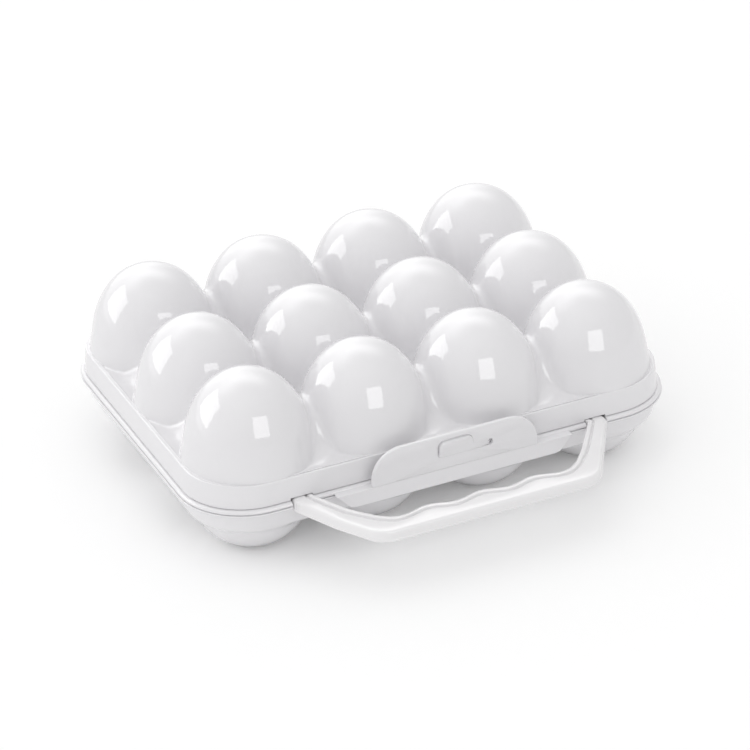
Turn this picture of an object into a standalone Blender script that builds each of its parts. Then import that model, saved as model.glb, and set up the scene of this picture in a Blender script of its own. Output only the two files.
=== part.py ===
"""Carrier for twelve eggs: a cupped tray, a domed lid, a carry handle and a hinged latch tongue.

All lengths are in metres.  +X runs along the front, +Y to the back where the lid is hinged, and
+Z up from the surface that the cups stand on.  Shapes are drawn about the middle of the egg cells
and then moved in Y, so that the origin lies under the middle of the whole carrier.
"""

import math

import bmesh
import bpy
from mathutils import Matrix, Vector

# The egg cells.
COLUMNS = 4
ROWS = 3
CELL_PITCH = 0.050            # the same along the front and to the back
EDGE_MARGIN = 0.0277          # from the outer cells' axes to the lid's top edge, front and back
END_MARGIN = 0.0286           # the same at its left and right ends
CORNER_RADIUS = 0.026         # of the lid's top edge
FIT_GAP = 0.0003              # running and seating clearance everywhere
OVERRUN = 0.004               # how far a cut runs past the face that it opens
MERGE_DISTANCE = 0.00003      # points nearer than this are one point

# The lid.
LID_EDGE_HEIGHT = 0.0385      # top face of the lid's flat, above the ground
LID_WALL = 0.0013
SKIRT_DROP = 0.0092
SKIRT_FLARE = 0.0010
BEAD_HEIGHT = 0.0005
BEAD_WIDTH = 0.0014
EDGE_ROUND = 0.0004
DOME_RISE = 0.0361            # the crown above the lid's flat
DOME_CAP_RADIUS = 0.0227      # ball that forms the crown
DOME_CAP_DEGREES = 40.0       # the ball reaches down to this latitude
DOME_SIDE_RADIUS = 0.0353     # rounder side that takes over from the ball
DOME_DRAFT_DEGREES = 11.0     # slope of the straight foot, which runs into its neighbours

# The tray.
TRAY_WALL = 0.0013
CUP_RADIUS = 0.0249
CUP_BALL_HEIGHT = 0.023       # centre of the cup's ball above the ground
DECK_HEIGHT = 0.0176          # top face of the pan's floor between the cups
PAN_FOOT_INSET = 0.0013       # the pan's foot lies this far inside the lid's top edge
RIM_BEAD_DEPTH = 0.0025       # from the rim's top down to the proud edge's underside
RIM_BEAD_FLARE = 0.0028
RIM_FOOT_FLARE = 0.0006       # the pan's wall where it runs up under the bead
LIP_RISE = 0.0015             # inner lip that centres the lid's skirt
LIP_WALL = 0.0012

# The latch tongue and the apron that carries it.
TONGUE_WIDTH = 0.0734
TONGUE_RISE = 0.0051          # its top above the lid's flat
TONGUE_WALL = 0.0015
TONGUE_PROUD = 0.0060         # its outer face beyond the lid's top edge
TONGUE_CORNER_RADIUS = 0.0130
TONGUE_ROUND = 0.0005
FOLD_DEPTH = 0.0006           # the fold between apron and tongue, below the rim's top
APRON_DROP = 0.0066
APRON_WIDTH = 0.104
APRON_WALL = 0.0014           # also of the shelf that joins the apron to the rim
APRON_END_SLOPE = 0.0060      # how much shorter its foot is than its head, at each end
SLOT_WIDTH = 0.033
SLOT_HEIGHT = 0.0030
SLOT_DEPTH = 0.0048           # the slot's lower edge below the lid's flat
ARCH_WIDTH = 0.0156
ARCH_RISE = 0.0029            # the arch's top above the lid's flat
ARCH_CORNER_RADIUS = 0.0035
CATCH_GAP = 0.0007            # between the catch and the edge of the arch, seen from the front

# The carry handle.
HANDLE_THICKNESS = 0.0046
HANDLE_REACH = 0.0388         # from the lid's top edge to the front of the grip
GRIP_DROP = 0.0026            # the grip's top face below the arms' roots
ROOT_RISE = 0.0012            # top of the roots above the parting line
ROOT_RAMP_LENGTH = 0.014
ROOT_KNEE_PROUD = 0.0030      # the arms leave the rim square for this far
ARM_ROOT_INNER_X = 0.0606
ARM_ROOT_OUTER_X = 0.0693
GRIP_CORNER_INNER_X = 0.0420
GRIP_CORNER_OUTER_X = 0.0477
GRIP_INNER_RADIUS = 0.0095
GRIP_OUTER_RADIUS = 0.0110
GRIP_WIDTH = 0.0104
FINGER_PITCH = 0.023
FINGER_DEPTH = 0.00125
HANDLE_ROUND = 0.0006
HANDLE_BEAD_WIDTH = 0.0013
HANDLE_BEAD_HEIGHT = 0.0005
HANDLE_GROOVE_WIDTH = 0.0006
HANDLE_GROOVE_DEPTH = 0.0004
HANDLE_RIB_WALL = 0.0018      # side walls of the channel under the handle
HANDLE_TOP_WALL = 0.0019
RIM_WEB_WALL = 0.0019         # what is left of the rim's wall inside a hook
HOOK_LEG = 0.0012
HOOK_BRIDGE = 0.0015
HOOK_LEG_REACH = 0.0030       # how far the leg hangs below the bridge's underside
HOOK_INSET = 0.0007           # the hook is this much narrower and lower than its arm

# The snap hinges at the back.
HINGE_X = 0.055               # middle of each hinge from the middle of the lid
HINGE_PROUD = 0.0048          # axis beyond the lid's top edge
HINGE_PIN_RADIUS = 0.0015
HINGE_EYE_WALL = 0.0015
HINGE_EYE_WIDTH = 0.016
HINGE_EAR_WIDTH = 0.004
HINGE_EAR_RADIUS = 0.0026
HINGE_EAR_ROOT = 0.0052       # height of an ear where it grows out of the rim
HINGE_MOUTH_DEGREES = 80.0    # open part of the eye, where it snaps on the pin

# Facets: how many steps a curve takes, and where its points lie along it.
DOME_STEPS = 24
HOLLOW_STEPS = 16
CORNER_STEPS = 6
DOME_CAP_SHARES = (0.0, 0.28, 0.55, 0.82)
DOME_SIDE_SHARES = (0.0, 0.45)
HOLLOW_CAP_SHARES = (0.0, 0.36, 0.72)
HOLLOW_SIDE_SHARES = (0.0,)
CUP_RING_SHARES = (0.0, 0.25, 0.5, 0.75, 1.0)
CUP_HOLLOW_RING_SHARES = (0.0, 0.33, 0.66, 1.0)
ARM_STEPS = 7
GRIP_CORNER_STEPS = 6
GRIP_STEPS = 32
TONGUE_CORNER_STEPS = 8
ARCH_CORNER_STEPS = 4
EYE_STEPS = 12
SHARP_DEGREES = 32.0

# Sizes that follow from those above.
HALF_WIDTH = (COLUMNS - 1) * CELL_PITCH / 2 + END_MARGIN
HALF_DEPTH = (ROWS - 1) * CELL_PITCH / 2 + EDGE_MARGIN
PARTING_HEIGHT = LID_EDGE_HEIGHT - SKIRT_DROP
RIM_HEIGHT = PARTING_HEIGHT - FIT_GAP
RIM_BEAD_HEIGHT = RIM_HEIGHT - RIM_BEAD_DEPTH
DECK_UNDERSIDE = DECK_HEIGHT - TRAY_WALL
SKIRT_INSIDE = SKIRT_FLARE - LID_WALL
LIP_OUTSIDE = SKIRT_INSIDE - FIT_GAP
LIP_INSIDE = LIP_OUTSIDE - LIP_WALL
PAN_DRAFT = (RIM_FOOT_FLARE + PAN_FOOT_INSET) / (RIM_BEAD_HEIGHT - DECK_UNDERSIDE)
PAN_INSIDE = TRAY_WALL * PAN_DRAFT - PAN_FOOT_INSET - TRAY_WALL
TONGUE_FACE_Y = -HALF_DEPTH - TONGUE_PROUD
TONGUE_BACK_Y = TONGUE_FACE_Y + TONGUE_WALL
TONGUE_TOP_HEIGHT = LID_EDGE_HEIGHT + TONGUE_RISE
CATCH_FACE_Y = TONGUE_BACK_Y + FIT_GAP
FOLD_HEIGHT = RIM_HEIGHT - FOLD_DEPTH
TONGUE_FOOT_HEIGHT = FOLD_HEIGHT + FIT_GAP
APRON_FOOT_HEIGHT = FOLD_HEIGHT - APRON_DROP
SLOT_FOOT_HEIGHT = LID_EDGE_HEIGHT - SLOT_DEPTH
ARCH_TOP_HEIGHT = LID_EDGE_HEIGHT + ARCH_RISE
ROOT_TOP_HEIGHT = PARTING_HEIGHT + ROOT_RISE
GRIP_TOP_HEIGHT = ROOT_TOP_HEIGHT - GRIP_DROP
HINGE_Y = HALF_DEPTH + HINGE_PROUD
HINGE_HEIGHT = PARTING_HEIGHT - FIT_GAP / 2
HINGE_EYE_BORE = HINGE_PIN_RADIUS + FIT_GAP
HINGE_EYE_RADIUS = HINGE_EYE_BORE + HINGE_EYE_WALL
FRONT_Y = -HALF_DEPTH - HANDLE_REACH
BACK_Y = HINGE_Y + max(HINGE_EYE_RADIUS, HINGE_EAR_RADIUS)
WEB_Y = -HALF_DEPTH - LIP_INSIDE - RIM_WEB_WALL
CENTRE_SHIFT = -(FRONT_Y + BACK_Y) / 2
CORNER_SIGNS = ((1, 1), (-1, 1), (-1, -1), (1, -1))

# The moulded white plastic: base colour and roughness.
TRAY_WHITE = ((0.86, 0.86, 0.87, 1.0), 0.22)
LID_WHITE = ((0.84, 0.84, 0.86, 1.0), 0.16)
HANDLE_WHITE = ((0.90, 0.90, 0.90, 1.0), 0.26)
TONGUE_WHITE = ((0.83, 0.83, 0.85, 1.0), 0.22)


def clear_scene():
    """Remove whatever the file holds."""
    for obj in list(bpy.data.objects):
        bpy.data.objects.remove(obj, do_unlink=True)


def plastic(name, look):
    """Glossy injection-moulded plastic of one colour."""
    colour, roughness = look
    material = bpy.data.materials.new(name)
    material.use_nodes = True
    shader = material.node_tree.nodes["Principled BSDF"]
    shader.inputs["Base Color"].default_value = colour
    shader.inputs["Roughness"].default_value = roughness
    shader.inputs["Metallic"].default_value = 0.0
    return material


def solid_from(bm, name):
    """Turn a finished bmesh into an object whose faces point outwards."""
    bmesh.ops.recalc_face_normals(bm, faces=bm.faces[:])
    mesh = bpy.data.meshes.new(name)
    bm.to_mesh(mesh)
    bm.free()
    obj = bpy.data.objects.new(name, mesh)
    bpy.context.scene.collection.objects.link(obj)
    return obj


def combine(target, tool, operation):
    """Join a tool to the target, or cut it out of it, and drop the tool."""
    modifier = target.modifiers.new("combine", "BOOLEAN")
    modifier.operation = operation
    modifier.solver = "EXACT"
    modifier.object = tool
    bpy.context.view_layer.update()
    graph = bpy.context.evaluated_depsgraph_get()
    mesh = bpy.data.meshes.new_from_object(target.evaluated_get(graph))
    bm = bmesh.new()
    bm.from_mesh(mesh)
    bmesh.ops.remove_doubles(bm, verts=bm.verts[:], dist=MERGE_DISTANCE)
    bmesh.ops.dissolve_degenerate(bm, dist=MERGE_DISTANCE, edges=bm.edges[:])
    bm.to_mesh(mesh)
    bm.free()
    target.modifiers.clear()
    old = target.data
    target.data = mesh
    bpy.data.meshes.remove(old)
    bpy.data.objects.remove(tool, do_unlink=True)


def rounded_rectangle(offset, height):
    """Outline of the carrier's plan, grown by an offset, as points at one height."""
    half_x, half_y = HALF_WIDTH + offset, HALF_DEPTH + offset
    radius = CORNER_RADIUS + offset
    points = []
    for quarter, (sx, sy) in enumerate(CORNER_SIGNS):
        for step in range(CORNER_STEPS + 1):
            angle = math.pi / 2 * (quarter + step / CORNER_STEPS)
            points.append(Vector((sx * (half_x - radius) + radius * math.cos(angle),
                                  sy * (half_y - radius) + radius * math.sin(angle), height)))
    return points


def lofted(name, rings):
    """Closed solid through rings of equal count, with a flat cap at each end."""
    bm = bmesh.new()
    loops = [[bm.verts.new(point) for point in ring] for ring in rings]
    for low, high in zip(loops, loops[1:]):
        for a, b, c, d in zip(low, low[1:] + low[:1], high[1:] + high[:1], high):
            bm.faces.new((a, b, c, d))
    bm.faces.new(list(reversed(loops[0])))
    bm.faces.new(loops[-1])
    return solid_from(bm, name)


def extruded(name, outline, along):
    """Prism of a flat outline, carried along one vector."""
    bm = bmesh.new()
    face = bm.faces.new([bm.verts.new(point) for point in outline])
    grown = bmesh.ops.extrude_face_region(bm, geom=[face])["geom"]
    moved = [item for item in grown if isinstance(item, bmesh.types.BMVert)]
    bmesh.ops.translate(bm, verts=moved, vec=along)
    return solid_from(bm, name)


def block(name, low, high):
    """Box between two corners."""
    outline = [Vector((low[0], low[1], low[2])), Vector((high[0], low[1], low[2])),
               Vector((high[0], high[1], low[2])), Vector((low[0], high[1], low[2]))]
    return extruded(name, outline, Vector((0.0, 0.0, high[2] - low[2])))


def cell_centres(parity):
    """Axes of every second egg cell, as on one colour of a chessboard, front row first."""
    for row in range(ROWS):
        for column in range(COLUMNS):
            if (row + column) % 2 == parity:
                yield Vector(((column - (COLUMNS - 1) / 2) * CELL_PITCH,
                              (row - (ROWS - 1) / 2) * CELL_PITCH, 0.0))


def turned_at_cells(name, profile, steps, parity):
    """One turned solid at every second egg cell, where it can't reach its next of kin.

    The profile holds (radius, height) points.
    """
    turned = bmesh.new()
    half_step = math.pi / steps
    verts = [turned.verts.new((radius * math.cos(half_step), radius * math.sin(half_step), height))
             for radius, height in profile]
    edges = [turned.edges.new(pair) for pair in zip(verts, verts[1:])]
    bmesh.ops.spin(turned, geom=verts + edges, cent=Vector(), axis=Vector((0.0, 0.0, 1.0)),
                   angle=2 * math.pi, steps=steps, use_merge=True)
    bmesh.ops.remove_doubles(turned, verts=turned.verts[:], dist=MERGE_DISTANCE)
    rims = [edge for edge in turned.edges if edge.is_boundary]
    bmesh.ops.edgeloop_fill(turned, edges=rims)
    bmesh.ops.recalc_face_normals(turned, faces=turned.faces[:])
    single = bpy.data.meshes.new(name)
    turned.to_mesh(single)
    turned.free()
    bm = bmesh.new()
    for centre in cell_centres(parity):
        before = set(bm.verts)
        bm.from_mesh(single)
        fresh = [vert for vert in bm.verts if vert not in before]
        bmesh.ops.translate(bm, verts=fresh, vec=centre)
    bpy.data.meshes.remove(single)
    return solid_from(bm, name)


def combine_at_cells(target, profile, steps, operation):
    """Join a turned solid to the target at all egg cells, or cut it out at all of them."""
    for parity in (0, 1):
        combine(target, turned_at_cells("turned", profile, steps, parity), operation)


def dome_profile(inset, foot_height, cap_shares, side_shares):
    """A ball's crown, a rounder side and a straight drafted foot, each tangent to the next.

    The inset moves the whole curve inwards by the wall, square to itself.
    """
    cap, side, draft = math.pi / 2, math.radians(DOME_CAP_DEGREES), math.radians(DOME_DRAFT_DEGREES)
    ball = LID_EDGE_HEIGHT + DOME_RISE - DOME_CAP_RADIUS
    shift = DOME_CAP_RADIUS - DOME_SIDE_RADIUS
    profile = [(0.0, ball + DOME_CAP_RADIUS - inset)]
    for share in reversed(cap_shares):
        angle = side + share * (cap - side)
        radius = DOME_CAP_RADIUS - inset
        profile.append((radius * math.cos(angle), ball + radius * math.sin(angle)))
    for share in reversed(side_shares):
        angle = draft + share * (side - draft)
        radius = DOME_SIDE_RADIUS - inset
        profile.append((shift * math.cos(side) + radius * math.cos(angle),
                        ball + shift * math.sin(side) + radius * math.sin(angle)))
    last_radius, last_height = profile[-1]
    profile.append((last_radius + (last_height - foot_height) * math.tan(draft), foot_height))
    return profile


def cup_profile(radius, floor, brim, shares):
    """A bowl cut from a ball, from its flat floor up to its brim."""
    low, high = (math.asin((height - CUP_BALL_HEIGHT) / radius) for height in (floor, brim))
    angles = [low + share * (high - low) for share in shares]
    return [(radius * math.cos(angle), CUP_BALL_HEIGHT + radius * math.sin(angle)) for angle in angles]


def yz_outline(points, x):
    """Outline of an end face that stands square to X."""
    return [Vector((x, y, z)) for y, z in points]


def add_hinge_ears(tray):
    """Two ears and a pin between them at each hinge, grown out of the tray's back rim."""
    inner = HALF_DEPTH + LIP_OUTSIDE
    foot = RIM_HEIGHT - HINGE_EAR_ROOT
    arc = [(HINGE_Y + HINGE_EAR_RADIUS * math.cos(angle),
            HINGE_HEIGHT + HINGE_EAR_RADIUS * math.sin(angle))
           for angle in (math.pi * (step / EYE_STEPS - 1 / 2) for step in range(EYE_STEPS + 1))]
    face_y = HALF_DEPTH + SKIRT_FLARE + FIT_GAP
    ear = [(inner, foot)] + arc + [(face_y + HINGE_EYE_WALL, RIM_HEIGHT), (inner, RIM_HEIGHT)]
    half = HINGE_EYE_WIDTH / 2 + FIT_GAP
    for side in (-1, 1):
        combine(tray, block("eye_bay", (side * HINGE_X - half, HALF_DEPTH + SKIRT_FLARE, foot),
                            (side * HINGE_X + half, HINGE_Y, RIM_HEIGHT + OVERRUN)), "DIFFERENCE")
        for end in (-1, 1):
            near = side * HINGE_X + end * half
            outline = yz_outline(ear, near)
            combine(tray, extruded("ear", outline, Vector((end * HINGE_EAR_WIDTH, 0.0, 0.0))), "UNION")
        span = HINGE_EYE_WIDTH + HINGE_EAR_WIDTH
        ring = [(HINGE_Y + HINGE_PIN_RADIUS * math.cos(angle),
                 HINGE_HEIGHT + HINGE_PIN_RADIUS * math.sin(angle))
                for angle in (2 * math.pi * step / EYE_STEPS for step in range(EYE_STEPS))]
        outline = yz_outline(ring, side * HINGE_X - span / 2)
        combine(tray, extruded("pin", outline, Vector((span, 0.0, 0.0))), "UNION")


def make_tray():
    """Shallow pan with a proud rim and twelve cups in its floor."""
    tray = lofted("egg_tray", [
        rounded_rectangle(-PAN_FOOT_INSET, DECK_UNDERSIDE),
        rounded_rectangle(RIM_FOOT_FLARE, RIM_BEAD_HEIGHT - FIT_GAP),
        rounded_rectangle(RIM_BEAD_FLARE, RIM_BEAD_HEIGHT),
        rounded_rectangle(RIM_BEAD_FLARE, RIM_BEAD_HEIGHT + EDGE_ROUND),
        rounded_rectangle(SKIRT_FLARE, RIM_HEIGHT),
        rounded_rectangle(LIP_OUTSIDE, RIM_HEIGHT),
        rounded_rectangle(LIP_OUTSIDE, RIM_HEIGHT + LIP_RISE),
    ])
    seam = DECK_HEIGHT - TRAY_WALL / 2
    combine_at_cells(tray, cup_profile(CUP_RADIUS, 0.0, seam, CUP_RING_SHARES), DOME_STEPS, "UNION")
    add_apron(tray)
    add_hinge_ears(tray)
    combine(tray, lofted("pocket", [
        rounded_rectangle(PAN_INSIDE, DECK_HEIGHT),
        rounded_rectangle(LIP_INSIDE, RIM_HEIGHT),
        rounded_rectangle(LIP_INSIDE, RIM_HEIGHT + LIP_RISE + OVERRUN),
    ]), "DIFFERENCE")
    combine_at_cells(tray, cup_profile(CUP_RADIUS - TRAY_WALL, TRAY_WALL, DECK_HEIGHT + OVERRUN,
                                       CUP_HOLLOW_RING_SHARES), HOLLOW_STEPS, "DIFFERENCE")
    add_handle_sockets(tray)
    return tray


def add_apron(tray):
    """Band in front of the rim that carries the fold of the latch tongue, on a shelf from the rim."""
    back_y = -HALF_DEPTH
    inner_y = TONGUE_FACE_Y + APRON_WALL
    shelf = FOLD_HEIGHT - APRON_WALL
    apron = [(TONGUE_FACE_Y, APRON_FOOT_HEIGHT), (TONGUE_FACE_Y, FOLD_HEIGHT), (back_y, FOLD_HEIGHT),
             (back_y, shelf), (inner_y, shelf), (inner_y, APRON_FOOT_HEIGHT)]
    slope = APRON_END_SLOPE / (FOLD_HEIGHT - APRON_FOOT_HEIGHT)
    combine(tray, lofted("apron", [
        [Vector((side * (APRON_WIDTH / 2 - slope * (FOLD_HEIGHT - z)), y, z)) for y, z in apron]
        for side in (-1, 1)]), "UNION")


def add_handle_sockets(tray):
    """Notches over the front rim in which the handle's hooks sit."""
    top = RIM_HEIGHT + LIP_RISE + OVERRUN
    web_top = ROOT_TOP_HEIGHT - HOOK_BRIDGE - FIT_GAP
    ledge = ROOT_TOP_HEIGHT - HANDLE_THICKNESS - FIT_GAP
    for side in (-1, 1):
        near, far = sorted((side * (ARM_ROOT_INNER_X - FIT_GAP), side * (ARM_ROOT_OUTER_X + FIT_GAP)))
        combine(tray, block("arm_socket", (near, -HALF_DEPTH - RIM_BEAD_FLARE - OVERRUN, ledge),
                            (far, WEB_Y, top)), "DIFFERENCE")
        combine(tray, block("hook_notch", (near, WEB_Y - FIT_GAP, web_top),
                            (far, -HALF_DEPTH - LIP_INSIDE + OVERRUN, top)), "DIFFERENCE")


def add_lid_eyes(lid):
    """Open eyes that snap on the tray's pins, each on a short arm from the back of the skirt."""
    mouth = math.radians(HINGE_MOUTH_DEGREES)
    start = -math.pi / 2 + mouth / 2
    angles = [start + (2 * math.pi - mouth) * step / EYE_STEPS for step in range(EYE_STEPS + 1)]
    ring = [(HINGE_Y + HINGE_EYE_RADIUS * math.cos(a), HINGE_HEIGHT + HINGE_EYE_RADIUS * math.sin(a))
            for a in angles]
    ring += [(HINGE_Y + HINGE_EYE_BORE * math.cos(a), HINGE_HEIGHT + HINGE_EYE_BORE * math.sin(a))
             for a in reversed(angles)]
    crown = HINGE_HEIGHT + HINGE_EYE_RADIUS * math.cos(math.pi / EYE_STEPS)
    arm_foot = HINGE_HEIGHT + HINGE_EYE_BORE
    for side in (-1, 1):
        left = side * HINGE_X - HINGE_EYE_WIDTH / 2
        along = Vector((HINGE_EYE_WIDTH, 0.0, 0.0))
        eye = extruded("eye", yz_outline(ring, left), along)
        arm = block("arm", (left, HALF_DEPTH - LID_WALL / 2, arm_foot + FIT_GAP),
                    (left + HINGE_EYE_WIDTH, HINGE_Y, crown - FIT_GAP))
        combine(eye, arm, "UNION")
        combine(lid, eye, "UNION")


def catch_outline(side_gap, y):
    """Arch-shaped outline of the catch, or of the hole round it, on a plane square to Y."""
    half = ARCH_WIDTH / 2 - side_gap
    top = ARCH_TOP_HEIGHT - side_gap
    foot = SLOT_FOOT_HEIGHT + side_gap
    points = [Vector((-half, y, foot)), Vector((half, y, foot))]
    for side in (1, -1):
        for step in range(ARCH_CORNER_STEPS + 1):
            angle = math.pi / 2 * (step / ARCH_CORNER_STEPS + (0 if side > 0 else 1))
            points.append(Vector((
                side * (half - ARCH_CORNER_RADIUS) + ARCH_CORNER_RADIUS * math.cos(angle), y,
                top - ARCH_CORNER_RADIUS + ARCH_CORNER_RADIUS * math.sin(angle))))
    return points


def make_lid():
    """Skirted flat with twelve domes, the latch's catch in front and the hinge eyes behind."""
    lid = lofted("lid", [
        rounded_rectangle(SKIRT_FLARE, PARTING_HEIGHT),
        rounded_rectangle(0.0, LID_EDGE_HEIGHT - EDGE_ROUND),
        rounded_rectangle(-EDGE_ROUND, LID_EDGE_HEIGHT + BEAD_HEIGHT),
        rounded_rectangle(-BEAD_WIDTH, LID_EDGE_HEIGHT + BEAD_HEIGHT),
        rounded_rectangle(-BEAD_WIDTH - EDGE_ROUND, LID_EDGE_HEIGHT),
    ])
    combine_at_cells(lid, dome_profile(0.0, LID_EDGE_HEIGHT - LID_WALL / 2, DOME_CAP_SHARES,
                                       DOME_SIDE_SHARES), DOME_STEPS, "UNION")
    combine(lid, lofted("under_flat", [
        rounded_rectangle(SKIRT_INSIDE, PARTING_HEIGHT - OVERRUN),
        rounded_rectangle(SKIRT_INSIDE, PARTING_HEIGHT),
        rounded_rectangle(-LID_WALL, LID_EDGE_HEIGHT - LID_WALL),
    ]), "DIFFERENCE")
    combine_at_cells(lid, dome_profile(LID_WALL, LID_EDGE_HEIGHT - LID_WALL - OVERRUN, HOLLOW_CAP_SHARES,
                                       HOLLOW_SIDE_SHARES), HOLLOW_STEPS, "DIFFERENCE")
    combine(lid, extruded("catch", catch_outline(CATCH_GAP, CATCH_FACE_Y),
                          Vector((0.0, -CATCH_FACE_Y - HALF_DEPTH + LID_WALL, 0.0))), "UNION")
    add_lid_eyes(lid)
    for side in (-1, 1):
        near, far = sorted((side * (ARM_ROOT_INNER_X - FIT_GAP), side * (ARM_ROOT_OUTER_X + FIT_GAP)))
        combine(lid, block("arm_notch",
                           (near, -HALF_DEPTH - SKIRT_FLARE - OVERRUN, PARTING_HEIGHT - OVERRUN),
                           (far, -HALF_DEPTH + LID_WALL + OVERRUN,
                            ROOT_TOP_HEIGHT + HANDLE_BEAD_HEIGHT + FIT_GAP)),
                "DIFFERENCE")
    return lid


def make_tongue():
    """Flat latch tongue with round top corners, pierced by the slot and arch for the catch."""
    half = TONGUE_WIDTH / 2
    outline = [Vector((side * half, TONGUE_BACK_Y, TONGUE_FOOT_HEIGHT)) for side in (-1, 1)]
    for side in (1, -1):
        for step in range(TONGUE_CORNER_STEPS + 1):
            angle = math.pi / 2 * (step / TONGUE_CORNER_STEPS + (0 if side > 0 else 1))
            outline.append(Vector((
                side * (half - TONGUE_CORNER_RADIUS) + TONGUE_CORNER_RADIUS * math.cos(angle),
                TONGUE_BACK_Y,
                TONGUE_TOP_HEIGHT - TONGUE_CORNER_RADIUS + TONGUE_CORNER_RADIUS * math.sin(angle))))
    inner = [point + Vector((0.0, -TONGUE_WALL + TONGUE_ROUND, 0.0)) for point in outline]
    centre = Vector((0.0, 0.0, (TONGUE_FOOT_HEIGHT + TONGUE_TOP_HEIGHT) / 2))
    face = []
    for point in outline:
        low = point.z == TONGUE_FOOT_HEIGHT
        toward = centre - Vector((point.x, 0.0, point.z))
        toward = Vector((toward.x, 0.0, 0.0)) if low else toward
        face.append(Vector((point.x, TONGUE_FACE_Y, point.z)) + toward.normalized() * TONGUE_ROUND)
    tongue = lofted("latch_tongue", [outline, inner, face])
    through = Vector((0.0, TONGUE_WALL + 2 * OVERRUN, 0.0))
    combine(tongue, extruded("arch", catch_outline(0.0, TONGUE_FACE_Y - OVERRUN), through), "DIFFERENCE")
    radius = SLOT_HEIGHT / 2
    slot = []
    for side in (1, -1):
        for step in range(ARCH_CORNER_STEPS + 1):
            angle = math.pi * (step / ARCH_CORNER_STEPS - 1 / 2) + (0 if side > 0 else math.pi)
            slot.append(Vector((side * (SLOT_WIDTH / 2 - radius) + radius * math.cos(angle),
                                TONGUE_FACE_Y - OVERRUN,
                                SLOT_FOOT_HEIGHT + radius + radius * math.sin(angle))))
    combine(tongue, extruded("slot", slot, through), "DIFFERENCE")
    return tongue


def bent_path(root_x, corner_x, front_y, radius):
    """Plan of one edge of the handle: arm, round corner, grip, round corner and arm."""
    knee = Vector((root_x, -HALF_DEPTH - ROOT_KNEE_PROUD))
    corner = Vector((corner_x, front_y))
    along = (knee - corner).normalized()
    turn = math.acos(max(-1.0, min(1.0, along.dot(Vector((-1.0, 0.0))))))
    setback = radius / math.tan(turn / 2)
    start, end = corner + along * setback, corner + Vector((-setback, 0.0))
    hub = end + Vector((0.0, radius))
    half = [Vector((root_x, WEB_Y - FIT_GAP))]
    half += [knee.lerp(start, step / ARM_STEPS) for step in range(ARM_STEPS)]
    first = math.atan2(start.y - hub.y, start.x - hub.x)
    for step in range(GRIP_CORNER_STEPS):
        angle = first + (-math.pi / 2 - first) * step / GRIP_CORNER_STEPS
        half.append(hub + radius * Vector((math.cos(angle), math.sin(angle))))
    grip = [Vector((end.x * (1 - 2 * step / GRIP_STEPS), end.y)) for step in range(GRIP_STEPS + 1)]
    mirrored = [Vector((-point.x, point.y)) for point in reversed(half)]
    return half + grip + mirrored


def handle_top(y):
    """Height of the handle's top face: a ramp from the rim down to the level grip."""
    knee = -HALF_DEPTH - ROOT_KNEE_PROUD
    share = max(0.0, min(1.0, (knee - y) / ROOT_RAMP_LENGTH))
    ease = share * share * (3 - 2 * share)
    return ROOT_TOP_HEIGHT + (GRIP_TOP_HEIGHT - ROOT_TOP_HEIGHT) * ease


def make_handle():
    """U-shaped carry handle with a wavy grip, a bead along its mouth and a channel below."""
    outer = bent_path(ARM_ROOT_OUTER_X, GRIP_CORNER_OUTER_X, FRONT_Y, GRIP_OUTER_RADIUS)
    inner = bent_path(ARM_ROOT_INNER_X, GRIP_CORNER_INNER_X, FRONT_Y + GRIP_WIDTH, GRIP_INNER_RADIUS)
    level = min(point.y for point in inner)
    rings = []
    for out_point, in_point in zip(outer, inner):
        mouth = in_point.copy()
        if in_point.y - level < FIT_GAP:
            mouth.y += FINGER_DEPTH * math.cos(2 * math.pi * in_point.x / FINGER_PITCH)
        else:
            fade = max(0.0, 1 - (in_point.y - level) / GRIP_INNER_RADIUS)
            mouth.y += FINGER_DEPTH * fade * math.cos(2 * math.pi * in_point.x / FINGER_PITCH)
        across = (mouth - out_point).normalized()
        top = handle_top((out_point.y + mouth.y) / 2)
        foot = top - HANDLE_THICKNESS
        bead = HANDLE_BEAD_WIDTH
        groove = bead + HANDLE_GROOVE_WIDTH
        section = [
            (out_point, foot), (out_point, top - HANDLE_ROUND), (out_point + across * HANDLE_ROUND, top),
            (mouth - across * (groove + HANDLE_GROOVE_WIDTH), top),
            (mouth - across * groove, top - HANDLE_GROOVE_DEPTH),
            (mouth - across * bead, top + HANDLE_BEAD_HEIGHT),
            (mouth - across * HANDLE_BEAD_HEIGHT, top + HANDLE_BEAD_HEIGHT), (mouth, top),
            (mouth, foot), (mouth - across * HANDLE_RIB_WALL, foot),
            (mouth - across * HANDLE_RIB_WALL, top - HANDLE_TOP_WALL),
            (out_point + across * HANDLE_RIB_WALL, top - HANDLE_TOP_WALL),
            (out_point + across * HANDLE_RIB_WALL, foot),
        ]
        rings.append([Vector((point.x, point.y, height)) for point, height in section])
    handle = lofted("carry_handle", rings)
    front_y = -HALF_DEPTH - ROOT_KNEE_PROUD - HANDLE_RIB_WALL
    end_y = WEB_Y - FIT_GAP - HOOK_INSET
    leg_y = -HALF_DEPTH - LIP_INSIDE + FIT_GAP
    foot = ROOT_TOP_HEIGHT - HANDLE_THICKNESS + HOOK_INSET
    top = ROOT_TOP_HEIGHT - HOOK_INSET
    bridge = ROOT_TOP_HEIGHT - HOOK_BRIDGE
    leg_foot = bridge - HOOK_LEG_REACH + FIT_GAP
    hook = [(front_y, foot), (end_y, foot), (end_y, bridge), (leg_y, bridge), (leg_y, leg_foot),
            (leg_y + HOOK_LEG, leg_foot), (leg_y + HOOK_LEG, top), (front_y, top)]
    for side in (-1, 1):
        outline = yz_outline(hook, side * (ARM_ROOT_INNER_X + HOOK_INSET))
        width = Vector((side * (ARM_ROOT_OUTER_X - ARM_ROOT_INNER_X - 2 * HOOK_INSET), 0.0, 0.0))
        combine(handle, extruded("hook", outline, width), "UNION")
    return handle


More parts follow.
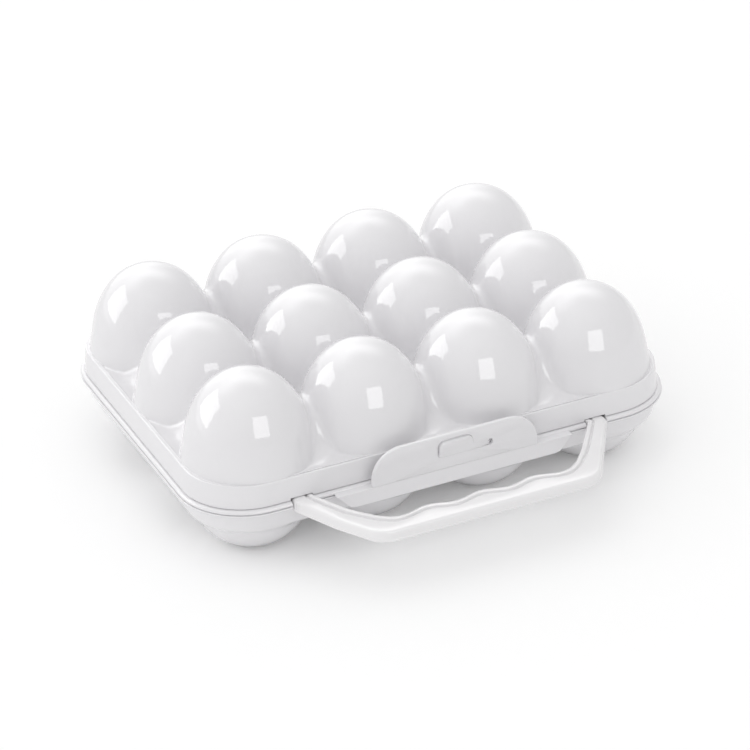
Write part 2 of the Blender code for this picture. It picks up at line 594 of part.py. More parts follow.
def place(obj, pivot, parent, material):
    """Put an object's origin on its pivot, hang it on its parent and give it its plastic."""
    obj.data.transform(Matrix.Translation(-pivot))
    obj.location = pivot
    obj.parent = parent
    obj.data.materials.clear()
    obj.data.materials.append(material)
    obj.data.shade_smooth()
    obj.data.set_sharp_from_angle(angle=math.radians(SHARP_DEGREES))


def main():
    """Build the carrier, closed and latched."""
    clear_scene()
    frame = bpy.data.objects.new("egg_carrier", None)
    bpy.context.scene.collection.objects.link(frame)
    frame.location = (0.0, CENTRE_SHIFT, 0.0)
    still = Vector((0.0, 0.0, 0.0))
    place(make_tray(), still, frame, plastic("tray_plastic", TRAY_WHITE))
    place(make_handle(), still, frame, plastic("handle_plastic", HANDLE_WHITE))
    place(make_lid(), Vector((0.0, HINGE_Y, HINGE_HEIGHT)), frame, plastic("lid_plastic", LID_WHITE))
    place(make_tongue(), Vector((0.0, TONGUE_FACE_Y, FOLD_HEIGHT)), frame,
          plastic("tongue_plastic", TONGUE_WHITE))


main()
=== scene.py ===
"""White moulded carrier for twelve eggs: the visual model over its fixed frame.

Sizes are in millimetres from the middle of the cell grid, with Z up from the ground. The frame
stands a little further back, so each point is moved by the plan's shift when its mesh is made.
"""
from __future__ import annotations

import logging
import math
from dataclasses import dataclass
from enum import Enum
from typing import Callable, Sequence

import bmesh
import bpy
import numpy as np
from mathutils import Matrix, Vector

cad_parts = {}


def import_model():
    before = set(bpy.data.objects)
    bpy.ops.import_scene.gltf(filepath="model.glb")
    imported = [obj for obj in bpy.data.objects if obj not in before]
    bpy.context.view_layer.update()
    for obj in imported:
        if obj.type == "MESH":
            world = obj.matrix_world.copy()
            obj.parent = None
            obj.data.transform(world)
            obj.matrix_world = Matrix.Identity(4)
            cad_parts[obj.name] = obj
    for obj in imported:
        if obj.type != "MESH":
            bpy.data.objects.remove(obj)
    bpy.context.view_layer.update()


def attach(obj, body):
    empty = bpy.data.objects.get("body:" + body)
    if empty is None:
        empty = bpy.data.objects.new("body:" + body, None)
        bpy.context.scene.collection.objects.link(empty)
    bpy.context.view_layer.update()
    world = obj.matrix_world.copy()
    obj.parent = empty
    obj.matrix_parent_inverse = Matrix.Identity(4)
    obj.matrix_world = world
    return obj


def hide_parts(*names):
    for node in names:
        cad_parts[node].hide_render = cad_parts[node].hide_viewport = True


LOG = logging.getLogger("egg_carrier")
MM = 0.001
FULL_TURN = 2 * math.pi
NOWHERE = 1000.0        # a distance that stands for no neighbour
TINY = 1e-9             # keeps divisions and comparisons safe
RIM_STEPS = 3           # segments of the roundings along both rims
Gap = Callable[[np.ndarray, np.ndarray, np.ndarray], np.ndarray]
FlatGap = Callable[[np.ndarray, np.ndarray], np.ndarray]


class Body(str, Enum):
    """What a piece moves with."""

    TRAY = "tray"
    LID = "lid"
    LATCH = "latch"


class Side(Enum):
    """The side of a shell from which its form is seen."""

    ABOVE = 1
    BELOW = 2


def joined(gaps: Sequence[np.ndarray], radius: float) -> np.ndarray:
    """Distance outside several bodies that flow into each other through fillets.

    The plain union's distance is the smallest gap. Inside the radius the gaps' shortfalls are
    added as the sides of a right angle, which rolls a ball of that radius along the crease.

    Args:
        gaps: Signed distances to the bodies, positive outside.
        radius: Radius of the ball that rounds the crease.

    Returns:
        Signed distance to the joined body.
    """
    least = gaps[0]
    short = np.maximum(radius - gaps[0], 0.0) ** 2
    for gap in gaps[1:]:
        least = np.minimum(least, gap)
        short = short + np.maximum(radius - gap, 0.0) ** 2
    return np.maximum(radius, least) - np.sqrt(short)


def crossed(gaps: Sequence[np.ndarray], radius: float) -> np.ndarray:
    """Distance outside what several bodies share, with its edges rounded to a radius."""
    return -joined([-gap for gap in gaps], radius)


def eased(points: np.ndarray, reach: float | Sequence[float], steps: int = 4) -> np.ndarray:
    """Round the corners of closed outlines.

    Each corner P becomes the curve P + u t (1 - s)^2 + v t s^2, where u and v point to its
    neighbours, t is the reach, cut to 0.45 of the shorter side, and s runs from 0 to 1.

    Args:
        points: Outlines of n corners in any number of dimensions, shaped (..., n, d).
        reach: How far each corner's curve goes along its sides.
        steps: Segments of each curve.

    Returns:
        Outlines shaped (..., n * (steps + 1), d).
    """
    before = np.roll(points, 1, axis=-2) - points
    after = np.roll(points, -1, axis=-2) - points
    size_before = np.linalg.norm(before, axis=-1, keepdims=True)
    size_after = np.linalg.norm(after, axis=-1, keepdims=True)
    limit = 0.45 * np.minimum(size_before, size_after)
    span = np.minimum(np.asarray(reach, float).reshape(-1, 1), limit)
    unit_before = before / np.maximum(size_before, TINY)
    unit_after = after / np.maximum(size_after, TINY)
    s = np.linspace(0.0, 1.0, steps + 1).reshape(-1, 1)
    curve = (points[..., None, :]
             + (unit_before * span)[..., None, :] * (1.0 - s) ** 2
             + (unit_after * span)[..., None, :] * s ** 2)
    return curve.reshape(points.shape[:-2] + (-1, points.shape[-1]))


@dataclass(frozen=True)
class Section:
    """Closed section, each corner as (across, up, reach of its rounding)."""

    corners: tuple[tuple[float, float, float], ...]

    @property
    def points(self) -> np.ndarray:
        """The corners as they stand before they are rounded."""
        return np.array(self.corners)[:, :2]

    @property
    def reach(self) -> np.ndarray:
        """How far each corner's rounding goes along its sides."""
        return np.array(self.corners)[:, 2]


def grid_quads(index: np.ndarray) -> np.ndarray:
    """Quads between the neighbours of a grid of point numbers, shaped (n, 4)."""
    corners = (index[:-1, :-1], index[1:, :-1], index[1:, 1:], index[:-1, 1:])
    return np.stack(corners, axis=-1).reshape(-1, 4)


def ramp(value: np.ndarray, start: float, length: float) -> np.ndarray:
    """Rise from 0 at the start to 1 a length further on, or further back where it is negative."""
    return np.clip((value - start) / length, 0.0, 1.0)


def whole_turn(steps: int) -> np.ndarray:
    """Angles once round in equal steps, without the last one, which is the first again."""
    return np.linspace(0.0, FULL_TURN, steps + 1)[:-1]


def border(is_out: Callable[[np.ndarray], np.ndarray], inside: np.ndarray, outside: np.ndarray,
           steps: int) -> np.ndarray:
    """Find a form's border between values inside it and values outside it, by halving.

    Args:
        is_out: Tells which values lie outside the form.
        inside: Values inside the form.
        outside: Values outside the form.
        steps: How often each interval is halved.

    Returns:
        Values just inside the border.
    """
    for _ in range(steps):
        middle = (inside + outside) / 2
        out = is_out(middle)
        outside = np.where(out, middle, outside)
        inside = np.where(out, inside, middle)
    return inside


@dataclass(frozen=True)
class Plan:
    """The carrier seen from above: its grid of cells and the rounded outline round it."""

    pitch: float = 50.0
    columns: int = 4
    rows: int = 3
    end_margin: float = 28.6
    edge_margin: float = 27.7
    corner: float = 26.0
    shift: float = 15.35
    cut_clear: float = 0.3
    cut_half: float = 0.02

    @property
    def half_width(self) -> float:
        """Half the length of the lid's top edge."""
        return self.pitch * (self.columns - 1) / 2 + self.end_margin

    @property
    def half_depth(self) -> float:
        """Half the depth of the lid's top edge."""
        return self.pitch * (self.rows - 1) / 2 + self.edge_margin

    def distance(self, x: np.ndarray, y: np.ndarray) -> np.ndarray:
        """How far points lie outside the outline, which is a rectangle with round corners.

        Args:
            x: X of the points.
            y: Y of the points.

        Returns:
            Distances, negative inside.
        """
        qx = np.abs(x) - (self.half_width - self.corner)
        qy = np.abs(y) - (self.half_depth - self.corner)
        return (np.hypot(np.maximum(qx, 0.0), np.maximum(qy, 0.0))
                + np.minimum(np.maximum(qx, qy), 0.0) - self.corner)

    def axis_distances(self, x: np.ndarray, y: np.ndarray) -> list[np.ndarray]:
        """Distances to the nearest cell's axis and to the next ones along X and along Y.

        Args:
            x: X of the points.
            y: Y of the points.

        Returns:
            The three distances; where there is no next cell, its distance is very large.
        """
        found = []
        for value, count in ((x, self.columns), (y, self.rows)):
            cell = np.clip(np.round(value / self.pitch + (count - 1) / 2), 0, count - 1)
            local = value - (cell - (count - 1) / 2) * self.pitch
            side = np.where(local < 0.0, -1.0, 1.0)
            away = np.where((cell + side >= 0) & (cell + side < count),
                            np.abs(local) - self.pitch, NOWHERE)
            found.append((local, away))
        (u, next_u), (v, next_v) = found
        return [np.hypot(u, v), np.hypot(next_u, v), np.hypot(u, next_v)]

    def seam_distance(self, x: np.ndarray, y: np.ndarray) -> np.ndarray:
        """How far points lie from the nearest mid-plane between two cells.

        Args:
            x: X of the points.
            y: Y of the points.

        Returns:
            Distances, never negative.
        """
        nearest = np.full(np.shape(x), NOWHERE)
        for value, count in ((x, self.columns), (y, self.rows)):
            for seam in range(1, count):
                nearest = np.minimum(nearest, np.abs(value - (seam - count / 2) * self.pitch))
        return nearest

    def stations(self, front: Sequence[float] = (), back: Sequence[float] = (),
                 corner_steps: int = 30, spacing: float = 3.0) -> tuple[np.ndarray, np.ndarray]:
        """Points round the outline with their outward normals.

        Args:
            front: X of the edges of cuts in the front side; each gets a point on either side.
            back: The same for the back side.
            corner_steps: Segments of each round corner.
            spacing: Largest step along the straight sides.

        Returns:
            Points and normals, both shaped (n, 2), anticlockwise from the right side.
        """
        a, b = self.half_depth - self.corner, self.half_width - self.corner
        points, normals = [], []
        for quarter, (length, marks) in enumerate(((a, ()), (b, back), (a, ()), (b, front))):
            angle = math.pi / 2 * quarter
            out = np.array([math.cos(angle), math.sin(angle)])
            along = np.array([-out[1], out[0]])
            depth = self.half_width if quarter % 2 == 0 else self.half_depth
            values = list(np.linspace(-length, length, int(2 * length / spacing) + 2))
            for mark in marks:
                place = mark * along[0]
                values = [v for v in values if abs(v - place) > self.cut_clear]
                values += [place - self.cut_half, place + self.cut_half]
            run = np.sort(np.array(values)).reshape(-1, 1)
            points.append(out * depth + along * run)
            normals.append(np.repeat(out.reshape(1, 2), len(run), axis=0))
            turn = angle + np.linspace(0.0, math.pi / 2, corner_steps + 1)[1:-1]
            ray = np.stack([np.cos(turn), np.sin(turn)], axis=-1)
            hub = out * (depth - self.corner) + along * length
            points.append(hub + ray * self.corner)
            normals.append(ray)
        return np.concatenate(points), np.concatenate(normals)

    def ring(self, offset: np.ndarray, height: np.ndarray,
             marks: dict[str, Sequence[float]] | None = None) -> np.ndarray:
        """Carry a closed section round the outline.

        Args:
            offset: Distance outside the outline, shaped (stations, n) or (n,).
            height: Heights of the same points.
            marks: Cuts in the front and the back side, as for stations.

        Returns:
            Points shaped (stations, n, 3).
        """
        points, normals = self.stations(**(marks or {}))
        shape = (len(points), offset.shape[-1])
        offset, height = np.broadcast_to(offset, shape), np.broadcast_to(height, shape)
        flat = points[:, None, :] + normals[:, None, :] * offset[..., None]
        return np.concatenate([flat, height[..., None]], axis=-1)


PLAN = Plan()


class Skin:
    """Gathers grids and caps in millimetres, and makes one smooth piece of them in metres."""

    def __init__(self, name: str) -> None:
        """Start an empty piece.

        Args:
            name: Name of the piece.
        """
        self.name = name
        self.points: list[np.ndarray] = []
        self.faces: list[np.ndarray] = []
        self.caps: list[np.ndarray] = []
        self.count = 0

    def add(self, points: np.ndarray) -> np.ndarray:
        """Keep points.

        Args:
            points: Points shaped (..., 3).

        Returns:
            Their numbers, in the same shape.
        """
        flat = points.reshape(-1, 3)
        index = np.arange(self.count, self.count + len(flat)).reshape(points.shape[:-1])
        self.points.append(flat)
        self.count += len(flat)
        return index

    def quads(self, index: np.ndarray, wrap_u: bool = False, wrap_v: bool = False) -> None:
        """Cover a grid of points with quads.

        Args:
            index: Numbers of the points, shaped (rows, columns).
            wrap_u: Whether the last row meets the first.
            wrap_v: Whether the last column meets the first.
        """
        if wrap_u:
            index = np.concatenate([index, index[:1]], axis=0)
        if wrap_v:
            index = np.concatenate([index, index[:, :1]], axis=1)
        self.faces.append(grid_quads(index))

    def loft(self, rings: np.ndarray) -> None:
        """Close a body through closed rings, with a cap on the first and on the last.

        Args:
            rings: Points shaped (rings, n, 3).
        """
        index = self.add(rings)
        self.quads(index, wrap_v=True)
        self.caps += [index[0], index[-1]]

    def torus(self, rings: np.ndarray) -> None:
        """Close a body through closed rings that come back to the first one."""
        self.quads(self.add(rings), wrap_u=True, wrap_v=True)

    def build(self, sharp: float = 40.0, merge: float = 0.002) -> bpy.types.Object:
        """Make the piece, with shared points merged and every face turned outward.

        Args:
            sharp: Edges that turn by more than this many degrees stay sharp.
            merge: Points nearer than this, in millimetres, become one.

        Returns:
            The new object, linked to the scene.
        """
        points = np.concatenate(self.points) + np.array([0.0, PLAN.shift, 0.0])
        mesh = bpy.data.meshes.new(self.name)
        faces = np.concatenate(self.faces).tolist() + [cap.tolist() for cap in self.caps]
        mesh.from_pydata((points * MM).tolist(), [], faces)
        bm = bmesh.new()
        bm.from_mesh(mesh)
        bmesh.ops.remove_doubles(bm, verts=bm.verts, dist=merge * MM)
        bmesh.ops.dissolve_degenerate(bm, edges=bm.edges, dist=merge * MM / 4)
        bmesh.ops.recalc_face_normals(bm, faces=bm.faces)
        bm.to_mesh(mesh)
        bm.free()
        mesh.shade_smooth()
        mesh.set_sharp_from_angle(angle=math.radians(sharp))
        piece = bpy.data.objects.new(self.name, mesh)
        bpy.context.scene.collection.objects.link(piece)
        return piece


@dataclass(frozen=True)
class ShellSizes:
    """How a moulded shell over the cell grid is sampled.

    The shell ends at the outline grown by the reach. Its heights lie between low and high. The
    first and the last corner_rays of a quarter's rays lie within corner_share of its angle, so a
    smaller share gathers rays where two cells meet at the outline, which a steep wall needs there.
    """

    reach: float
    wall: float
    low: float
    high: float
    rays: int = 72
    rings: int = 38
    dense: int = 260
    turn_length: float = 6.0
    corner_rays: float = 0.21
    corner_share: float = 0.21
    on_border: float = 1e-4
    height_steps: int = 30
    border_steps: int = 40


class CellShell:
    """A moulded shell of even wall over the whole cell grid.

    Each cell is a polar grid about its axis. A ray ends where it meets the mid-plane to the next
    cell or the outline grown by the reach. The height on a ray is the z at which the gap
    to the form changes sign, found by bisection. Points are spaced evenly in arc length plus turn,
    and the second skin lies one wall further in along the gap's gradient.
    """

    def __init__(self, gap: Gap, sizes: ShellSizes, side: Side) -> None:
        """Keep what the shell is made from.

        Args:
            gap: Distance outside the form at points (x, y, z).
            sizes: How the shell is sampled.
            side: The side from which the form is seen.
        """
        self.gap = gap
        self.sizes = sizes
        self.above = side is Side.ABOVE

    def heights(self, x: np.ndarray, y: np.ndarray) -> np.ndarray:
        """Heights of the form over points of the plan.

        Args:
            x: X of the points.
            y: Y of the points.

        Returns:
            Heights between low and high at which the gap changes its sign.
        """
        low, high = np.full(x.shape, self.sizes.low), np.full(x.shape, self.sizes.high)
        inside, outside = (low, high) if self.above else (high, low)
        return border(lambda z: self.gap(x, y, z) > 0.0, inside, outside, self.sizes.height_steps)

    def normals(self, points: np.ndarray) -> np.ndarray:
        """Unit gradient of the gap, from differences over 20 micrometres either way.

        Args:
            points: Points shaped (..., 3).

        Returns:
            Unit vectors in the same shape.
        """
        step = 0.02
        parts = []
        for axis in range(3):
            low, high = points.copy(), points.copy()
            low[..., axis] -= step
            high[..., axis] += step
            parts.append(self.gap(*np.moveaxis(high, -1, 0)) - self.gap(*np.moveaxis(low, -1, 0)))
        normal = np.stack(parts, axis=-1)
        return normal / np.maximum(np.linalg.norm(normal, axis=-1, keepdims=True), TINY)

    def rays_of(self, column: int, row: int) -> tuple[np.ndarray, np.ndarray]:
        """Directions of a cell's rays and the length of each up to the cell's border.

        Args:
            column: The cell's place along X, from 0 at the left.
            row: The cell's place along Y, from 0 at the front.

        Returns:
            Unit vectors shaped (rays, 2), and their lengths.
        """
        half = PLAN.pitch / 2
        centre = self.centre(column, row)
        room = {"x": [half, half], "y": [half, half]}
        for key, at, count, margin in (("x", column, PLAN.columns, PLAN.end_margin),
                                       ("y", row, PLAN.rows, PLAN.edge_margin)):
            if at == 0:
                room[key][0] = margin + self.sizes.reach
            if at == count - 1:
                room[key][1] = margin + self.sizes.reach
        (left, right), (front, back) = room["x"], room["y"]
        corners = [math.atan2(back, right), math.atan2(back, -left),
                   math.atan2(-front, -left) + FULL_TURN, math.atan2(-front, right) + FULL_TURN,
                   math.atan2(back, right) + FULL_TURN]
        share = np.arange(self.sizes.rays // 4) / (self.sizes.rays // 4)
        first, near = self.sizes.corner_rays, self.sizes.corner_share
        share = np.interp(share, [0.0, first, 1.0 - first, 1.0], [0.0, near, 1.0 - near, 1.0])
        angle = np.concatenate([a + (b - a) * share for a, b in zip(corners, corners[1:])])
        ray = np.stack([np.cos(angle), np.sin(angle)], axis=-1)
        across = np.maximum(ray, 0.0) / [right, back] + np.maximum(-ray, 0.0) / [left, front]
        far = 1.0 / across.max(axis=-1)

        def past(length: np.ndarray) -> np.ndarray:
            """How far the rays' ends lie past the shell's border at given lengths."""
            return PLAN.distance(*(centre + ray * length[:, None]).T) - self.sizes.reach

        short = border(lambda length: past(length) > 0.0, np.zeros_like(far), far,
                       self.sizes.border_steps)
        return ray, np.where(past(far) > TINY, short, far)

    def centre(self, column: int, row: int) -> np.ndarray:
        """Axis of a cell on the plan."""
        return np.array([(column - (PLAN.columns - 1) / 2) * PLAN.pitch,
                         (row - (PLAN.rows - 1) / 2) * PLAN.pitch])

    def spaced(self, rho: np.ndarray, height: np.ndarray) -> np.ndarray:
        """Space each ray's points evenly in the profile's length plus its turn.

        Args:
            rho: Dense distances from the cell's axis, shaped (rays, n).
            height: Heights at those distances.

        Returns:
            Distances from the axis, shaped (rays, rings + 1).
        """
        run, rise = np.diff(rho, axis=1), np.diff(height, axis=1)
        slope = np.arctan2(rise, run)
        turn = np.abs(np.diff(slope, axis=1, prepend=slope[:, :1]))
        measure = np.hypot(run, rise) + self.sizes.turn_length * turn
        total = np.concatenate([np.zeros((len(rho), 1)), np.cumsum(measure, axis=1)], axis=1)
        wanted = np.linspace(0.0, 1.0, self.sizes.rings + 1)
        return np.stack([np.interp(wanted * t[-1], t, r) for t, r in zip(total, rho)])

    def surface(self) -> tuple[np.ndarray, np.ndarray]:
        """Work out the side that is seen.

        Returns:
            Points shaped (cells, rays, rings + 1, 3), and which rays end at the shell's border.
        """
        share = np.linspace(0.0, 1.0, self.sizes.dense + 1)
        cells, ends = [], []
        for row in range(PLAN.rows):
            for column in range(PLAN.columns):
                centre = self.centre(column, row)
                ray, length = self.rays_of(column, row)
                rho = length[:, None] * share
                spot = centre + ray[:, None, :] * rho[..., None]
                rho = self.spaced(rho, self.heights(spot[..., 0], spot[..., 1]))
                rho[:, -1] = length
                spot = centre + ray[:, None, :] * rho[..., None]
                z = self.heights(spot[..., 0], spot[..., 1])
                cells.append(np.concatenate([spot, z[..., None]], axis=-1))
                end = spot[:, -1]
                past = PLAN.distance(end[:, 0], end[:, 1]) - self.sizes.reach
                ends.append(np.abs(past) < self.sizes.on_border)
        return np.array(cells), np.array(ends)

    def build(self, skin: Skin) -> None:
        """Add both sides of the wall and the band that closes them along the outline.

        Args:
            skin: Skin that takes them.
        """
        outer, ends = self.surface()
        inner = outer - self.normals(outer) * self.sizes.wall
        outside, inside = skin.add(outer), skin.add(inner)
        for top, under, rim in zip(outside, inside, ends):
            skin.quads(top, wrap_u=True)
            skin.quads(under, wrap_u=True)
            both = rim & np.roll(rim, -1)
            a, b = top[:, -1], np.roll(top[:, -1], -1)
            c, d = np.roll(under[:, -1], -1), under[:, -1]
            skin.faces.append(np.stack([a, b, c, d], axis=-1)[both])


@dataclass(frozen=True)
class DomeForm:
    """Egg-shaped dome: a ball's cap, a rounder side and a straight foot with draft."""

    rise: float = 36.1
    cap_radius: float = 22.7
    cap_degrees: float = 40.0
    side_radius: float = 35.3
    draft_degrees: float = 11.0

    def gap(self, rho: np.ndarray, h: np.ndarray) -> np.ndarray:
        """Distance outside the dome at rho from its axis and h above the lid's flat.

        The cap is |p - c| - R down to its latitude. The side is the same about a centre on the
        same line, so the two meet without a kink. Below it a line leaves at the draft angle.

        Args:
            rho: Distance from the dome's axis.
            h: Height above the lid's flat.

        Returns:
            Distances, negative inside.
        """
        cos_cap, sin_cap = (f(math.radians(self.cap_degrees)) for f in (math.cos, math.sin))
        cos_draft, sin_draft = (f(math.radians(self.draft_degrees)) for f in (math.cos, math.sin))
        level = self.rise - self.cap_radius
        side_rho = -(self.side_radius - self.cap_radius) * cos_cap
        side_h = level - (self.side_radius - self.cap_radius) * sin_cap
        foot_rho = side_rho + self.side_radius * cos_draft
        foot_h = side_h + self.side_radius * sin_draft
        cap = np.hypot(rho, h - level) - self.cap_radius
        side = np.hypot(rho - side_rho, h - side_h) - self.side_radius
        foot = (rho - foot_rho) * cos_draft + (h - foot_h) * sin_draft
        in_cap = (h - level) * cos_cap >= rho * sin_cap
        in_side = (h - side_h) * cos_draft >= (rho - side_rho) * sin_draft
        return np.where(in_cap, cap, np.where(in_side, side, foot))


@dataclass(frozen=True)
class Arms:
    """Where the handle's two arms pass the rim, and the bridge of the hooks under their top."""

    inner_x: float = 60.6
    outer_x: float = 69.3
    top: float = 29.9
    gap: float = 0.3
    hook_bridge: float = 1.5

    def marks(self, gap: float) -> list[float]:
        """X of both edges of both notches."""
        edges = self.inner_x - gap, self.outer_x + gap
        return [side * edge for side in (-1, 1) for edge in edges]

    def inside(self, points: np.ndarray, gap: float) -> np.ndarray:
        """Which outline points lie in a notch of the front side."""
        x = np.abs(points[:, 0])
        return (x > self.inner_x - gap) & (x < self.outer_x + gap) & (points[:, 1] < 0.0)


ARMS = Arms()


@dataclass(frozen=True)
class Hinge:
    """The two snap hinges behind: pins on the tray and open eyes on the lid.

    The root and the lip say how far each ear starts inside the outline and how far it stands
    outside it at the rim's top.
    """

    x: float = 55.0
    proud: float = 4.8
    z: float = 29.15
    pin: float = 1.5
    bore: float = 1.8
    eye: float = 3.3
    eye_width: float = 16.0
    ear_width: float = 4.0
    ear_radius: float = 2.6
    ear_root: float = 5.2
    ear_lip: float = 2.8
    root: float = 0.6
    gap: float = 0.3
    pin_hold: float = 2.0
    mouth_degrees: float = 80.0

    @property
    def y(self) -> float:
        """Depth of the axis."""
        return PLAN.half_depth + self.proud

    def circle(self, radius: float, start: float, end: float, steps: int) -> np.ndarray:
        """Arc about the axis as points (y, z), with angles in degrees from straight back."""
        a = np.radians(np.linspace(start, end, steps + 1))
        return np.stack([self.y + radius * np.cos(a), self.z + radius * np.sin(a)], axis=-1)


HINGE = Hinge()


def prism(section: np.ndarray, low: float, high: float, edge: float = 0.25,
          steps: int = 3) -> np.ndarray:
    """Rings of an outline carried along X, drawn in a little at both ends.

    At each end the outline shrinks toward its middle by edge (1 - sin a) while x moves by
    edge (1 - cos a), which rounds the end's rim.

    Args:
        section: Outline as points (y, z).
        low: X of one end.
        high: X of the other end.
        edge: Radius of the rims.
        steps: Rings of each rim.

    Returns:
        Rings shaped (2 * (steps + 1), n, 3).
    """
    tangent = np.roll(section, -1, axis=0) - np.roll(section, 1, axis=0)
    tangent /= np.maximum(np.linalg.norm(tangent, axis=-1, keepdims=True), TINY)
    inward = np.stack([-tangent[:, 1], tangent[:, 0]], axis=-1)
    y, z = section.T
    area = np.sum(y * np.roll(z, -1) - np.roll(y, -1) * z)
    inward *= math.copysign(1.0, area)
    turn = np.linspace(0.0, math.pi / 2, steps + 1)
    rings = []
    for end, way, order in ((low, 1.0, turn), (high, -1.0, turn[::-1])):
        for a in order:
            flat = section + inward * edge * (1.0 - math.sin(a))
            x = np.full((len(section), 1), end + way * edge * (1.0 - math.cos(a)))
            rings.append(np.concatenate([x, flat], axis=1))
    return np.array(rings)


def plate_gap(x: np.ndarray, z: np.ndarray, half: float, low: float, high: float,
              top_radius: float, foot_radius: float) -> np.ndarray:
    """Distance outside an upright plate's outline, whose top and bottom corners have own radii.

    Args:
        x: X of the points.
        z: Z of the points.
        half: Half the plate's width.
        low: Height of its lower edge.
        high: Height of its upper edge.
        top_radius: Radius of the upper corners.
        foot_radius: Radius of the lower corners.

    Returns:
        Distances, negative inside.
    """
    r = np.where(z > (low + high) / 2, top_radius, foot_radius)
    qx = np.abs(x) - (half - r)
    qz = np.abs(z - (low + high) / 2) - ((high - low) / 2 - r)
    return np.hypot(np.maximum(qx, 0), np.maximum(qz, 0)) + np.minimum(np.maximum(qx, qz), 0) - r


@dataclass(frozen=True)
class Window:
    """Opening in the tongue: an arch, with a slot that runs out to the right at its foot."""

    hub_z: float = 35.2
    foot: float = 33.7
    arch_half: float = 7.8
    arch_top: float = 41.4
    arch_corner: float = 3.5
    foot_corner: float = 1.4
    slot_x: float = 4.5
    slot_end: float = 16.5
    slot_top: float = 36.7
    slot_flat: float = 0.001
    ray_length: float = 60.0
    ray_steps: int = 44

    @property
    def hub(self) -> np.ndarray:
        """Point from which every part of the edge is seen."""
        return np.array([0.0, self.hub_z])

    def arch(self, x: np.ndarray, z: np.ndarray) -> np.ndarray:
        """Distance outside the arch."""
        return plate_gap(x, z, self.arch_half, self.foot, self.arch_top, self.arch_corner,
                         self.foot_corner)

    def gap(self, x: np.ndarray, z: np.ndarray) -> np.ndarray:
        """Distance outside the whole window.

        Args:
            x: X of the points.
            z: Z of the points.

        Returns:
            Distances, negative inside the arch or the slot.
        """
        radius = (self.slot_top - self.foot) / 2 - self.slot_flat
        slot = plate_gap(x - self.slot_x, z, self.slot_end - self.slot_x, self.foot, self.slot_top,
                         radius, radius)
        return np.minimum(self.arch(x, z), slot)

    def edge(self, gap: FlatGap, angle: np.ndarray) -> np.ndarray:
        """Find where rays from the hub leave a form.

        Args:
            gap: Distance outside the form at points (x, z).
            angle: Directions of the rays, from +X toward +Z.

        Returns:
            Points (x, z), one for each ray.
        """
        ray = np.stack([np.cos(angle), np.sin(angle)], axis=-1)
        start, end = np.zeros_like(angle), np.full_like(angle, self.ray_length)
        length = border(lambda r: gap(*(self.hub + ray * r[:, None]).T) > 0.0, start, end,
                        self.ray_steps)
        return self.hub + ray * length[:, None]


WINDOW = Window()


@dataclass(frozen=True)
class Catch:
    """The lid's lug that fills the tongue's window, with a scoop toward the window's right end.

    Each x or z says where something begins to change, and the blend or rise beside it over how
    far: the wide gap at the lug's left and top, its crown at the upper left, and the scoop.
    """

    face: float = -84.3
    back: float = -77.0
    proud: float = 0.65
    shoulder: float = 1.5
    shoulder_drop: float = 1.2
    run_past: float = 10.0
    shoulder_foot: float = 20.0
    wide_gap: float = 0.7
    hair: float = 0.05
    left_x: float = -5.0
    left_blend: float = 1.5
    left_z: float = 34.2
    left_rise: float = 1.2
    top_z: float = 39.0
    top_rise: float = 1.5
    top_x: float = 7.5
    top_blend: float = 3.0
    crown_x: float = 6.0
    crown_blend: float = 11.0
    crown_z: float = 34.0
    crown_rise: float = 4.0
    scoop_x: float = 8.0
    scoop_blend: float = 7.0
    scoop_depth: float = 0.7
    hole_x: float = 15.2
    hole_depth: float = 1.6
    rays: int = 300
    rings: int = 30
    hub_share: float = 0.004

    def slack(self, x: np.ndarray, z: np.ndarray) -> np.ndarray:
        """Gap round the lug: wide at its left and along its top, and a hair elsewhere.

        Args:
            x: X of the points.
            z: Z of the points.

        Returns:
            Width of the gap.
        """
        left = ramp(x, self.left_x, -self.left_blend) * ramp(z, self.left_z, self.left_rise)
        top = ramp(z, self.top_z, self.top_rise) * ramp(x, self.top_x, -self.top_blend)
        return self.hair + (self.wide_gap - self.hair) * np.maximum(left, top)

    def depth(self, x: np.ndarray, z: np.ndarray) -> np.ndarray:
        """How far the lug's face lies behind its proudest point.

        The lug is highest at its upper left, rounded by a quarter circle toward that edge, and
        sinks evenly to the tongue's face toward its right and its foot. Beside the arch lies the
        scoop, whose depth grows with x as the smooth step t^2 (3 - 2 t), and last a small hole.

        Args:
            x: X of the points.
            z: Z of the points.

        Returns:
            Depths, positive to the back.
        """
        slack = self.slack(x, z)
        edge = plate_gap(x - self.run_past, z, WINDOW.arch_half + self.run_past, self.shoulder_foot,
                         WINDOW.arch_top, WINDOW.arch_corner, WINDOW.foot_corner) + slack
        near = ramp(edge, -self.shoulder, self.shoulder)
        crown = ramp(x, self.crown_x, -self.crown_blend) * ramp(z, self.crown_z, self.crown_rise)
        lug = self.shoulder_drop * (1.0 - np.sqrt(1.0 - near ** 2)) + self.proud * (1.0 - crown)
        t = ramp(x, self.scoop_x, self.scoop_blend)
        scoop = self.proud + self.scoop_depth * t * t * (3.0 - 2.0 * t)
        scoop = np.where(x > self.hole_x, self.proud + self.hole_depth, scoop)
        return np.where(WINDOW.arch(x, z) + slack > 0.0, scoop, lug)

    def add(self, skin: Skin) -> None:
        """Add the lug: rays run from the window's hub to its edge, less the gap.

        Args:
            skin: Skin that takes it.
        """
        rim = WINDOW.edge(lambda x, z: WINDOW.gap(x, z) + self.slack(x, z), whole_turn(self.rays))
        share = np.linspace(0.0, 1.0, self.rings + 1)
        share[0] = self.hub_share
        flat = WINDOW.hub + (rim - WINDOW.hub) * share[:, None, None]
        x, z = flat[..., 0], flat[..., 1]
        front = np.stack([x, self.face + self.depth(x, z), z], axis=-1)
        back = np.insert(rim, 1, self.back, axis=1)
        skin.loft(np.concatenate([front, back[None]]))


